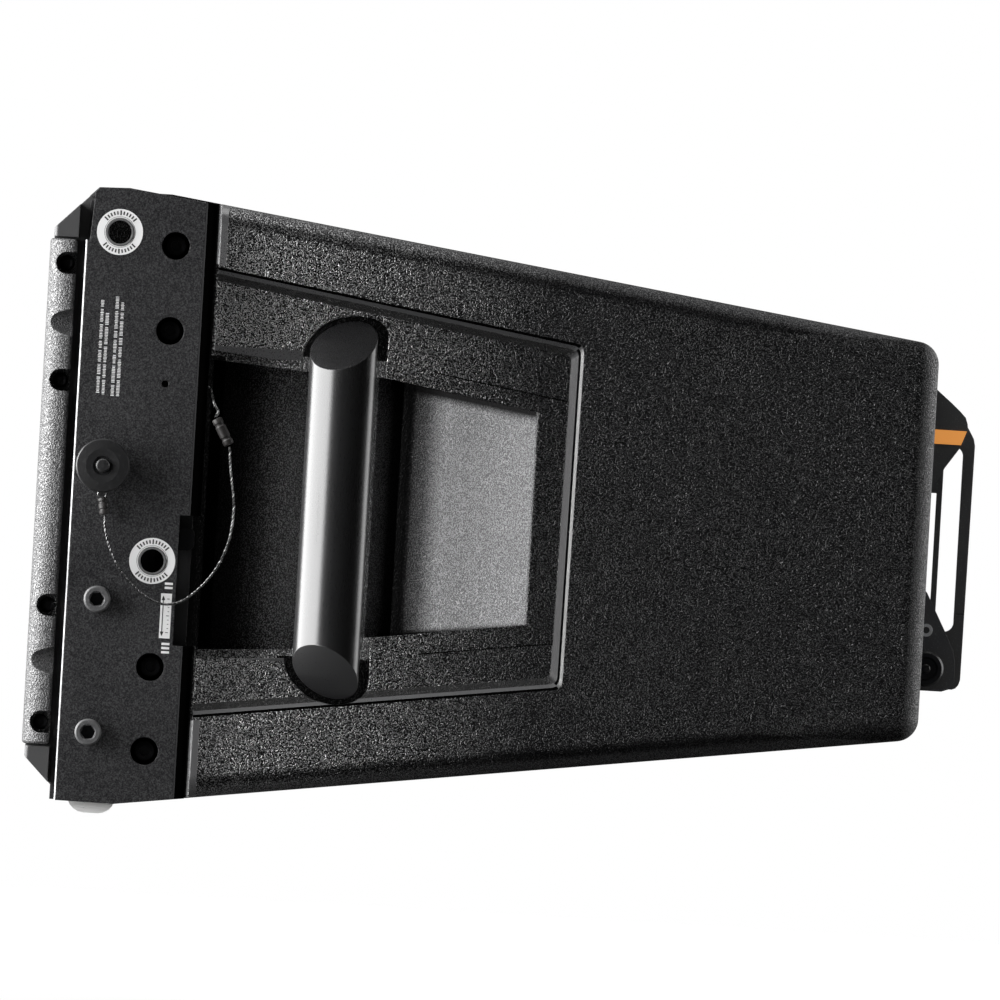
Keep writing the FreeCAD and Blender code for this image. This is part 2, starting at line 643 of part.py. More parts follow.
def quick_pin():
    """Hollow shank, collar and round knob, with a tab for the lanyard."""
    tab = fuse(cyl_x(TAB_X0, TAB_X1, *PARK, 8.4), prism_x(TAB, TAB_X0, TAB_X1))
    tab = tab.cut(cyl_x(280, 300, *PARK, 5.4))
    return fuse(revolve_x(QUICK_PIN, *PARK), tab)


# Lanyard centre lines, as (x, y, z)
CABLE_R, FERRULE_R = 0.65, 2.6
CABLE = [
    (289.7, 33.6, -9.7), (290.4, 33.8, -14.3), (291.2, 35.6, -22.1), (291.6, 39.5, -30.9),
    (291.6, 44.1, -37.3), (291.4, 50.6, -43.7), (291.2, 56.9, -48.0), (291.0, 63.1, -50.1),
    (290.6, 69.2, -49.5), (290.2, 75.1, -46.5), (289.8, 82.5, -39.4), (289.5, 88.2, -31.3),
    (289.2, 91.9, -22.5), (289.0, 93.9, -14.0), (288.8, 94.5, -1.0), (288.4, 92.0, 15.7),
    (288.0, 90.9, 26.6)]
CABLE_END = [
    (287.2, 83.4, 40.4), (286.2, 84.6, 42.6), (284.6, 83.0, 45.6), (281.0, 81.2, 50.6),
    (278.6, 80.2, 53.8), (ANCHOR_X, 78.0, ANCHOR_Z), (ANCHOR_X, 74.6, ANCHOR_Z)]


def cable(points):
    curve = Part.BSplineCurve()
    curve.interpolate([Vector(*p) for p in points])
    path = Part.Wire([curve.toShape()])
    direction = curve.tangent(curve.FirstParameter)[0]
    section = Part.Wire([Part.makeCircle(CABLE_R, Vector(*points[0]), direction)])
    return path.makePipeShell([section], True, True)


save_both("quick_pin", quick_pin())
save_both("pin_button", revolve_x(PIN_BUTTON, *PARK))
save_both("pin_ferrule", rod((289.4, 32.05, -0.9), (289.6, 33.5, -9.1), FERRULE_R))
save_both("lanyard", cable(CABLE), cable(CABLE_END),
          Part.makeSphere(1.5, Vector(ANCHOR_X, 72.5, ANCHOR_Z)))
save("lanyard_ferrules", *pair(rod((287.9, 90.7, 27.4), (287.3, 83.9, 39.5), FERRULE_R)))


# ---------------------------------------------------------------- grip bars
def half_space(point, normal):
    """Large block on the side of the point that the normal faces."""
    block = Part.makeBox(200, 200, 200, Vector(-100, -100, 0))
    turn = FreeCAD.Rotation(Vector(0, 0, 1), Vector(*normal).normalize())
    block.Placement = FreeCAD.Placement(Vector(*point), turn)
    return block


def handle_bar():
    """Vertical bar, its ends cut at a slant, with short legs into the seats."""
    bar = Part.makeCylinder(BAR_R, BAR_TOP - BAR_BOTTOM + 20,
                            Vector(BAR_X, BAR_Y, BAR_BOTTOM - 10))
    bar = fuse(bar, *[cyl_x(SEAT_X + 0.05, BAR_X, BAR_Y, z, 13.0) for z in (73.0, -74.0)])
    inner_x = BAR_X - BAR_R
    bar = bar.cut(half_space((inner_x, BAR_Y, BAR_TOP), (0.70, -0.26, 1.0)))
    bar = bar.cut(half_space((inner_x, BAR_Y, BAR_BOTTOM), (0.73, -0.31, -1.0)))
    return holes_x(bar, BOLTS, 220, 240, 3.0)


# (radius, x); the core lies inside the bolt's head
BOLT_CORE = [(0, 216.4), (2.6, 216.4), (2.6, 218.6), (0, 218.6)]
BOLT = [(0, 216.0), (5.0, 216.0), (5.0, 220.4), (2.95, 220.4), (2.95, 239.0), (0, 239.0)]

save_both("handle_bar", handle_bar())
save("handle_bolts", *pairs(
    fuse(revolve_x(BOLT_CORE, y, z), revolve_x(BOLT, y, z)) for y, z in BOLTS))

# ------------------------------------------------------------ rear rigging
REAR_OFF = 2.8                     # how far it stands behind its nominal place
# Places as (y, z)
REAR_PIN = (427.9 + REAR_OFF, -60.9)
REAR_EYE = (427.1 + REAR_OFF, -42.3)
REAR_HOLE = (419.5 + REAR_OFF, 67.4)
CHEEK_X0, CHEEK_X1 = 12.0, 15.0
SPINE_Y0, SPINE_Y1 = 404.5, 407.8
CHEEK_TOP, CHEEK_BOTTOM = 75.0, -71.5
Y_PANEL0, Y_PANEL1 = 399.0, 402.0
BRACKET_SCREWS = [(x, z) for x in (-30, 30) for z in (-63, 0, 64)]

# Nominal outlines as (y, z)
CHEEK_UPPER = [
    (SPINE_Y0, CHEEK_TOP), (424.5, CHEEK_TOP), (427.2, 72.7), (432.6, 68.3), (437.5, 64.0),
    (440.3, 61.1), (441.4, 57.9), (441.7, 54.6), (439.1, 47.5), (431.6, 36.5),
    (428.3, 30.4), (420.0, 18.0), (SPINE_Y0, 18.0)]
CHEEK_LOWER = [
    (SPINE_Y0, -16.0), (420.0, -16.0), (426.6, -24.4), (430.9, -32.5), (436.1, -42.3),
    (440.5, -51.1), (441.9, -57.2), (442.0, -66.5), (439.6, -70.2), (436.0, CHEEK_BOTTOM),
    (SPINE_Y0, CHEEK_BOTTOM)]
INDEX_BAND = [(412.0, 54.8), (441.2, 54.6), (438.7, 47.8), (412.0, 47.9)]
# Link arm as built
LINK_ARM = [
    (431.2, -52.0), (436.2, -57.5), (436.2, -70.3), (443.9, -70.3), (445.6, -69.6),
    (446.9, -68.0), (447.7, -65.4), (Y_REARMOST, 47.8), (447.7, 51.0), (445.5, 54.9),
    (443.4, 58.2), (438.8, 61.4), (431.2, 62.4)]


def set_back(outline):
    """Moves the points behind the spine to the rear."""
    return [(y + REAR_OFF if y > SPINE_Y1 + 0.1 else y, z) for y, z in outline]


def rear_bracket():
    cheek = fuse(prism_x(set_back(CHEEK_UPPER), CHEEK_X0, CHEEK_X1),
                 prism_x(set_back(CHEEK_LOWER), CHEEK_X0, CHEEK_X1),
                 prism_x([(SPINE_Y0, CHEEK_BOTTOM), (SPINE_Y0, CHEEK_TOP),
                          (SPINE_Y1, CHEEK_TOP), (SPINE_Y1, CHEEK_BOTTOM)],
                         CHEEK_X0, CHEEK_X1))
    for place, radius in ((REAR_PIN, 4.1), (REAR_EYE, 2.3), (REAR_HOLE, 4.1)):
        cheek = cheek.cut(cyl_x(0, 30, *place, radius))
    base = box(-38, 38, Y_PANEL1 + 0.02, 405.0, -76, 78)
    bracket = fuse(base, cheek, mirror(cheek))
    return holes_y(bracket, BRACKET_SCREWS, 395, 410, 2.6)


def rear_link_arm():
    arm = prism_x(LINK_ARM, -5.0, 5.0)
    arm = arm.cut(slot_x(438.4, 42.4, 438.4, -38.0, 4.5, -10, 10))
    arm = fuse(arm, box(-5, 5, 411.4, 431.4, 24.0, 62.4),
               box(-5, 5, 411.4, 431.4, -52.0, -30.0))
    arm = holes_x(arm, [(419.4, z) for z in (31.5, 43.0, 54.5, -41.0)], -10, 10, 4.1)
    # scribed line on the rear edge, at both sides
    for x0, x1 in ((4.6, 6.0), (-6.0, -4.6)):
        arm = arm.cut(box(x0, x1, 443.6, 450.0, -34.2, -33.4))
    return arm


# Turned pieces, as (radius, x)
REAR_PIN_BODY = [
    (0, -21.0), (3.0, -21.0), (4.0, -19.6), (4.0, 15.3), (8.5, 15.3), (8.5, 22.0),
    (7.6, 23.2), (5.8, 23.2), (5.0, 22.2), (2.3, 22.2), (2.3, 15.8), (1.1, 15.8),
    (1.1, -18.5), (0, -18.5)]
REAR_PIN_BUTTON = [
    (0, -14.0), (1.0, -14.0), (1.0, 19.2), (2.2, 19.2), (2.2, 24.2), (1.8, 24.6), (0, 24.8)]

save("rear_bracket", rear_bracket())
save("arm_guides", *pairs(box(5.3, CHEEK_X0 - 0.02, 410.0, 423.5, z0, z1)
                          for z0, z1 in ((20.0, 60.0), (-70.0, -18.0))))
save("rear_link_arm", rear_link_arm())
side_bushes = [ring_x(X_IN, X_OUT + 0.6, y, z, BUSH_R, HOLE_R) for y, z in PIN_HOLES]
eye_bushes = [ring_x(CHEEK_X0 + 0.4, CHEEK_X1 + 0.5, *REAR_EYE, 2.28, 1.6),
              ring_x(CHEEK_X1 + 0.03, CHEEK_X1 + 0.5, *REAR_EYE, 3.1, 2.3)]
save("hole_bushes", *pairs(side_bushes + eye_bushes))
save("index_bands", *pair(prism_x(set_back(INDEX_BAND), CHEEK_X1 + 0.02, CHEEK_X1 + 0.3)))
save("rear_pin", revolve_x(REAR_PIN_BODY, *REAR_PIN))
save("rear_pin_button", revolve_x(REAR_PIN_BUTTON, *REAR_PIN))

# ------------------------------------------------- amplifier panel and rear
# Places as (x, z)
SIGNAL = [(72, 6), (112, 6), (72, -25.5), (112, -25.5)]
MAINS = [(72, -57), (112, -57)]
KNOB = (74.0, 38.0)
BUTTON = (112.0, 38.0)
LAMPS = [(x, 66) for x in (60, 68, 76, 84)]
PANEL_SCREWS = [(-146, 76), (146, 76), (-146, -76), (146, -76), (-146, 0), (146, 0)]
PANEL_SCREW_R = 2.1                # hole for the shank


def amp_panel():
    panel = box(-PANEL_X, PANEL_X, Y_PANEL0, Y_PANEL1, -PANEL_Z, PANEL_Z)
    for places, radius in ((SIGNAL + MAINS, 11.8), ([KNOB], 3.1), ([BUTTON], 2.1),
                           (BRACKET_SCREWS, 2.6), (PANEL_SCREWS, PANEL_SCREW_R),
                           (LAMPS, 1.6)):
        panel = holes_y(panel, places, 390, 410, radius)
    # recess for the rectangular window
    return panel.cut(box(98, 132, 401.2, 410, 58, 74))


def panel_gasket():
    gasket = box(-PANEL_X, PANEL_X, 398.02, 398.98, -PANEL_Z, PANEL_Z)
    gasket = gasket.cut(box(-141, 141, 390, 410, -71, 71))
    return holes_y(gasket, PANEL_SCREWS, 390, 410, PANEL_SCREW_R)


def heat_sink():
    sink = box(-141, -46, Y_PANEL1 + 0.03, 406.0, -70, 70)
    for i in range(13):
        x = -140.6 + i * 7.7
        sink = sink.fuse(box(x, x + 2.0, 405.9, 421.0, -70, 70))
    return sink.removeSplitter()


def socket(x, z):
    """Flange with rounded corners and a solid barrel."""
    flange = box(x - 13, x + 13, Y_PANEL1 + 0.03, 404.0, z - 15.5, z + 15.5)
    flange = try_fillet(flange, 2.5, lambda p, q: near(p.x, q.x) and near(p.z, q.z))
    return fuse(flange, cyl_y(381, 404.0, x, z, 11.6))


def round_socket(place, bore_r, core_r, core_y, pitch_r, hole_r):
    """Bored socket whose core has three contact holes."""
    body = socket(*place).cut(cyl_y(388, 410, *place, bore_r))
    body = fuse(body, cyl_y(387.5, core_y, *place, core_r))
    holes = [polar(place, pitch_r, angle) for angle in (90, 210, 330)]
    return holes_y(body, holes, 392, 410, hole_r)


def network_socket(x, z):
    return socket(x, z).cut(box(x - 6, x + 6, 388, 410, z - 6.5, z + 5))


# Turned pieces, as (radius, y)
PANEL_SCREW = [
    (0, 398.1), (2.0, 398.1), (2.0, 402.05), (3.9, 402.05), (3.9, 403.4), (2.8, 404.4),
    (0, 404.4)]
BRACKET_SCREW = [
    (0, 392), (2.5, 392), (2.5, 405.05), (4.8, 405.05), (4.8, 407.2), (3.6, 408.4),
    (0, 408.4)]
LAMP = [(0, 397), (1.5, 397), (1.5, 402.6), (1.1, 403.3), (0, 403.6)]
KNOB_PROFILE = [
    (0, 390), (3.0, 390), (3.0, 402.6), (9.5, 402.6), (9.5, 405.0), (8.2, 406.0),
    (7.8, 416.0), (7.0, 417.0), (0, 417.0)]
BUTTON_PROFILE = [
    (0, 391), (2.0, 391), (2.0, 404.2), (4.5, 404.2), (4.5, 407.6), (3.9, 408.2), (0, 408.2)]
TRANSFORMER = [(12, 325), (40, 325), (42, 328), (42, 354), (40, 357), (12, 357)]
CAPACITORS = [(-8, 28), (-8, 0), (-8, -28), (22, 14), (22, -14)]   # (x, z)

save("amp_panel", amp_panel())
save("panel_gasket", panel_gasket())
save("rear_screws", *[revolve_y(PANEL_SCREW, x, z) for x, z in PANEL_SCREWS],
     *[revolve_y(BRACKET_SCREW, x, z) for x, z in BRACKET_SCREWS])
save("indicator_lights", *[revolve_y(LAMP, x, z) for x, z in LAMPS],
     box(98.2, 131.8, 401.25, 402.3, 58.2, 73.8))
save("heat_sink", heat_sink())
save("signal_sockets",
     *[round_socket(place, bore_r=9.4, core_r=7.4, core_y=401.5, pitch_r=4.2, hole_r=1.2)
       for place in SIGNAL[:2]],
     *[network_socket(x, z) for x, z in SIGNAL[2:]])
save("mains_sockets",
     *[round_socket(place, bore_r=10.2, core_r=6.6, core_y=402.5, pitch_r=3.8, hole_r=1.5)
       for place in MAINS])
# pointer groove in the knob's face
groove = box(KNOB[0] - 0.6, KNOB[0] + 0.6, 416.2, 420, KNOB[1] + 1.5, KNOB[1] + 8.5)
save("control_knob", revolve_y(KNOB_PROFILE, *KNOB).cut(groove))
save("control_button", revolve_y(BUTTON_PROFILE, *BUTTON))

# ---------------------------------------------------------- inside the cabinet
save("amp_board", box(-135, 40, 366, 367.6, -66, 66))
save("power_supply", revolve_y(TRANSFORMER, -80, 0),
     *[cyl_y(336, 365.9, x, z, 12.4) for x, z in CAPACITORS])
save("damping_foam", *[box(-195, 195, 255, 320, z, z + 16) for z in (86, -102)])
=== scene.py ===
"""Loudspeaker cabinet with a perforated front grille, recessed sides, steel side plates,
quick-release pins on lanyards and an amplifier panel at the rear.

Frame: X runs across the cabinet, +Y from the grille to the rear, +Z up, in metres.
Sizes are working millimetres, with Y from the grille's front and Z from mid height, and
point() turns them into the frame. Lengths inside shaders and tube radii are metres.
"""
import bpy, bmesh, math, random
from mathutils import Vector, Matrix

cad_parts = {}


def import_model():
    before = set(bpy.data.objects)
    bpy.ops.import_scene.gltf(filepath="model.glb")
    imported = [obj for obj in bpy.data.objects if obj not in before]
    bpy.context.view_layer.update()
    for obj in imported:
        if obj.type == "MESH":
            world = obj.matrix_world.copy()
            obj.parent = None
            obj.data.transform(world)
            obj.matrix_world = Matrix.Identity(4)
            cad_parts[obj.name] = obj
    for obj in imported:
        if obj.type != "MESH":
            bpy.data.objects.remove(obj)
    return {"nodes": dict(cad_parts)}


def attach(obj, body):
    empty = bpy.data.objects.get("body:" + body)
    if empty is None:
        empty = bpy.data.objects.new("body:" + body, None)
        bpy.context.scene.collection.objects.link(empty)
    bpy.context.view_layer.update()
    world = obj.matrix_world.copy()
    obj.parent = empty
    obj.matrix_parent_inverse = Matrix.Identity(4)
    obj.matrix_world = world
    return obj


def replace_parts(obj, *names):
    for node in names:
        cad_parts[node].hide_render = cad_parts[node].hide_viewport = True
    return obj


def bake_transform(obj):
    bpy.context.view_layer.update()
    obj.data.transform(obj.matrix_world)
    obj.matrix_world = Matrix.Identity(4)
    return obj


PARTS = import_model()["nodes"]
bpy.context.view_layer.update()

MM = 0.001
Y0, Z0 = 224.2, 151.4                  # the frame's origin is at working Y = Y0, Z = -Z0
SIDES = (("right", 1), ("left", -1))   # right is +X

# the cabinet's side: half width SIDE_X at depth SIDE_Y, narrowing to the rear
SIDE_X, SIDE_Y, SIDE_LEAN = 276.0, 80.7, math.radians(8.0)

# sloping lines on the side: height at the start, slope, depth of the start
RECESS_TOP = (113.9, -0.1528, 76.0)
RECESS_BASE = (-105.3, 0.1338, 76.0)
SEAM_TOP = (67.6, -0.158, 185.1)
SEAM_BASE = (-65.8, 0.134, 195.7)
# EAVES_TOP and EAVES_BASE edge the painted shadow under the recess's upper and lower rims
EAVES_TOP = (58.9, -0.153, 178.9)
EAVES_BASE = (-57.8, 0.107, 180.4)


def point(x, y, z):
    """Working millimetres to the frame's metres."""
    return Vector((x * MM, (y - Y0) * MM, (z + Z0) * MM))


def line_height(line, y):
    height, slope, start = line
    return height + slope * (y - start)


# ---------------------------------------------------------------- shader graphs
def grey(level, blue=None):
    """A grey, with its blue set apart where given."""
    return (level, level, level if blue is None else blue)


def shade(color, factor):
    return tuple(min(1.0, c * factor) for c in color)


class Graph:
    """A node tree with short calls for the nodes used here."""

    def __init__(self, tree):
        self.tree = tree
        tree.nodes.clear()

    def feed(self, socket, value):
        """Links an output to an input, or sets the input to a plain value."""
        if isinstance(value, bpy.types.NodeSocket):
            self.tree.links.new(value, socket)
        else:
            socket.default_value = (*value, 1.0) if socket.type == "RGBA" else value

    def node(self, kind, inputs=None, **props):
        node = self.tree.nodes.new(kind)
        for key, value in props.items():
            setattr(node, key, value)
        for key, value in (inputs or {}).items():
            self.feed(node.inputs[key], value)
        return node

    def ramp(self, field, span, to=(0.0, 1.0)):
        """Maps the field from span to the range to, clamped."""
        return self.node("ShaderNodeMapRange", {
            "Value": field, "From Min": span[0], "From Max": span[1],
            "To Min": to[0], "To Max": to[1]}).outputs[0]


class Nodes(Graph):
    """A material with one Principled shader; edge is the radius of its rounded-looking edges."""

    def __init__(self, name, edge=0.0):
        self.material = bpy.data.materials.new(name)
        self.material.use_nodes = True
        super().__init__(self.material.node_tree)
        out = self.node("ShaderNodeOutputMaterial")
        self.shader = self.node("ShaderNodeBsdfPrincipled")
        self.feed(out.inputs[0], self.shader.outputs[0])
        self.coords = self.node("ShaderNodeTexCoord").outputs["Object"]
        self.edge = None
        if edge > 0:
            self.edge = self.node("ShaderNodeBevel", {"Radius": edge}, samples=4).outputs[0]

    def set(self, name, value):
        self.feed(self.shader.inputs[name], value)

    def mapping(self, scale):
        return self.node("ShaderNodeMapping", {"Scale": scale, "Vector": self.coords}).outputs[0]

    def noise(self, scale, detail=3.0, rough=0.55, coords=None):
        return self.node("ShaderNodeTexNoise", {
            "Scale": scale, "Detail": detail, "Roughness": rough,
            "Vector": coords or self.coords}).outputs["Fac"]

    def spread(self, noise, to=(0.0, 1.0)):
        """Stretches the middle of a noise, where most of it lies, over a range."""
        return self.ramp(noise, span=(0.3, 0.7), to=to)

    def dim(self, mask, to):
        """1 off the mask, falling to a factor on it."""
        return self.ramp(mask, span=(0.0, 1.0), to=(1.0, to))

    def math(self, operation, a, b):
        return self.node("ShaderNodeMath", {0: a, 1: b}, operation=operation).outputs[0]

    def add(self, a, b):
        return self.math("ADD", a, b)

    def sub(self, a, b):
        return self.math("SUBTRACT", a, b)

    def mul(self, a, b):
        return self.math("MULTIPLY", a, b)

    def larger(self, a, b):
        return self.math("MAXIMUM", a, b)

    def above(self, field, limit):
        return self.math("GREATER_THAN", field, limit)

    def below(self, field, limit):
        return self.math("LESS_THAN", field, limit)

    def between(self, field, low, high):
        return self.mul(self.above(field, low), self.below(field, high))

    def size(self, field):
        return self.math("ABSOLUTE", field, 0.0)

    def off(self, mask):
        return self.sub(1.0, mask)

    def mix(self, factor, a, b):
        return self.node("ShaderNodeMix", {0: factor, 6: a, 7: b}, data_type="RGBA").outputs[2]

    def mottle(self, noise, color, var):
        return self.mix(self.spread(noise), shade(color, 1 - var), shade(color, 1 + var))

    def layers(self, color, *layers):
        """Lays (mask, colour) pairs over a colour, in order."""
        for mask, over in layers:
            color = self.mix(mask, color, over)
        return color

    def finish(self, color, rough, height, depth, strength=1.0, spec=0.5):
        """Feeds the shader, with relief from a height field over a depth in metres."""
        self.set("Base Color", color)
        self.set("Roughness", rough)
        self.set("Specular IOR Level", spec)
        relief = {"Strength": strength, "Distance": depth, "Height": height}
        if self.edge is not None:
            relief["Normal"] = self.edge
        self.set("Normal", self.node("ShaderNodeBump", relief).outputs[0])
        return self.material


# ---------------------------------------------------------------- materials
def surface(name, color, rough=0.45, metallic=0.0, var=0.18, rough_var=0.08, spec=0.5,
            grain=1500.0, depth=0.00003, wear=0.0, worn=grey(0.5), stretch=None, coat=0.0,
            emit=0.0, edge=0.0, speck=0.0):
    """Painted, moulded or plated surface: mottled colour, uneven gloss, fine relief and
    rubbed edges. worn is the colour that wear and scuffs lay bare."""
    k = Nodes(name, edge)
    broad = k.noise(scale=9.0, detail=4.0)
    coords = k.mapping(stretch) if stretch else None
    fine = k.noise(scale=grain, detail=3.0, rough=0.6, coords=coords)
    col = k.mottle(broad, color, var)
    if speck > 0:
        specks = k.ramp(k.noise(scale=grain * 0.55, detail=2.0), span=(0.60, 0.74))
        col = k.mix(k.mul(specks, speck), col, shade(color, 3.0))
    if wear > 0:
        pointed = k.node("ShaderNodeNewGeometry").outputs["Pointiness"]
        ragged = k.mul(k.sub(k.noise(scale=160.0, detail=5.0), 0.5), 0.05)
        edges = k.ramp(k.add(pointed, ragged), span=(0.545, 0.62))
        scuffs = k.ramp(k.noise(scale=26.0, detail=6.0, rough=0.7), span=(0.62, 0.78))
        col = k.mix(k.mul(k.larger(edges, k.mul(scuffs, 0.35)), wear), col, worn)
    half = rough_var * 0.5
    k.set("Metallic", metallic)
    k.set("Coat Weight", coat)
    if emit > 0:
        k.set("Emission Color", color)
        k.set("Emission Strength", emit)
    roughness = k.add(k.spread(fine, to=(-half, half)),
                      k.spread(broad, to=(rough - half, rough + half)))
    return k.finish(col, roughness, height=fine, depth=depth, strength=0.8, spec=spec)


def metal(name, color, rough, stretch=(1, 1, 1), grain=900.0, wear=0.3, var=0.12, edge=0.0003):
    """Bare metal with a fine grain and dull darker spots."""
    k = Nodes(name, edge)
    fine = k.noise(scale=grain, detail=4.0, rough=0.7, coords=k.mapping(stretch))
    col = k.mottle(k.noise(scale=35.0, detail=4.0), color, var)
    spots = k.ramp(k.noise(scale=220.0, detail=6.0, rough=0.65), span=(0.56, 0.70))
    col = k.mix(k.mul(spots, wear), col, shade(color, 0.45))
    k.set("Metallic", 1.0)
    roughness = k.add(k.spread(fine, to=(rough - 0.06, rough + 0.10)), k.mul(spots, 0.15))
    return k.finish(col, roughness, height=fine, depth=0.00001, strength=0.6)


def across_and_depth(k, split):
    """Distance from the middle and depth from the grille, in working millimetres."""
    return k.mul(k.size(split[0]), 1000.0), k.add(k.mul(split[1], 1000.0), Y0)


def line_nodes(k, y, line):
    height, slope, start = line
    return k.add(k.mul(k.sub(y, start), slope), height)


def pebble_field(k):
    """Close, irregular pebbles under a millimetre across."""
    return k.ramp(k.noise(scale=1550.0, detail=1.0, rough=0.45), span=(0.36, 0.66))


class CabinetNodes(Nodes):
    """What the cabinet's plastic and the rims of its side recess share."""

    def __init__(self, name):
        super().__init__(name, edge=0.0009)
        split = self.node("ShaderNodeSeparateXYZ", {0: self.coords}).outputs
        x, self.y = across_and_depth(self, split)
        self.z = self.sub(self.mul(split[2], 1000.0), Z0)
        self.from_mid = self.size(self.z)
        half_width = self.sub(SIDE_X, self.mul(self.sub(self.y, SIDE_Y), math.tan(SIDE_LEAN)))
        self.inset = self.sub(half_width, x)   # depth below the sloping side
        self.pebbles = pebble_field(self)
        self.fine = self.noise(scale=3000.0, detail=2.0, rough=0.6)
        self.broad = self.noise(scale=8.0, detail=4.0)
        top = line_nodes(self, self.y, RECESS_TOP)
        base = line_nodes(self, self.y, RECESS_BASE)
        self.in_recess = self.mul(self.between(self.z, base, top), self.below(self.y, 263.0))
        normal = self.node("ShaderNodeNewGeometry").outputs["Normal"]
        self.normal = self.node("ShaderNodeSeparateXYZ", {0: normal}).outputs
        self.upright = self.size(self.normal[2])
        # top and bottom of the cabinet, outside the recess
        self.outer = self.mul(self.above(self.from_mid, 96.0),
                              self.off(self.mul(self.in_recess, self.below(self.y, 250.0))))
        self.flat = self.mul(self.ramp(self.upright, span=(0.93, 0.98)), self.outer)

    def plain_bands(self):
        """The ungrained strip at the front, the lips on the ledge, and the ledge itself."""
        strip = self.mul(self.mul(self.below(self.y, 84.2), self.off(self.in_recess)),
                         self.below(self.inset, 9.0))
        ledge = self.between(self.inset, 4.5, 7.5)
        lip = self.mul(self.mul(ledge, self.between(self.from_mid, 69.4, 74.2)),
                       self.below(self.y, 126.0))
        return strip, lip, ledge

    def grained(self, plain):
        """Pebbled height, smooth where plain."""
        return self.mul(self.add(self.pebbles, self.mul(self.fine, 0.3)), self.off(plain))

    def complete(self, color, gloss, height):
        rough = self.add(self.ramp(self.pebbles, span=(0.0, 1.0), to=(0.42, 0.27)),
                         self.spread(self.broad, to=(-0.03, 0.03)))
        rough = self.add(rough, self.ramp(self.flat, span=(0.0, 1.0), to=(0.0, 0.2)))
        return self.finish(color, rough, height=height, depth=0.00026, spec=gloss)


# painted light and shade on the recess floor, by how open it is to light: depth from the grille,
# brightness
RECESS_LIGHT_SPAN = (80.0, 240.0)
RECESS_LIGHT = (
    (80, 0.0006), (97, 0.0022), (105, 0.010), (113, 0.035), (122, 0.085), (159, 0.085),
    (164, 0.040), (168, 0.004), (176, 0.0010), (184, 0.016), (193, 0.079), (240, 0.075))


def recess_light(k):
    node = k.node("ShaderNodeValToRGB", {0: k.ramp(k.y, span=RECESS_LIGHT_SPAN)})
    start, end = RECESS_LIGHT_SPAN
    stops = node.color_ramp.elements
    while len(stops) < len(RECESS_LIGHT):
        stops.new(0.5)
    for stop, (y, level) in zip(stops, RECESS_LIGHT):
        stop.position = (y - start) / (end - start)
        stop.color = (level, level, level * 1.02, 1)
    return node.outputs[0]


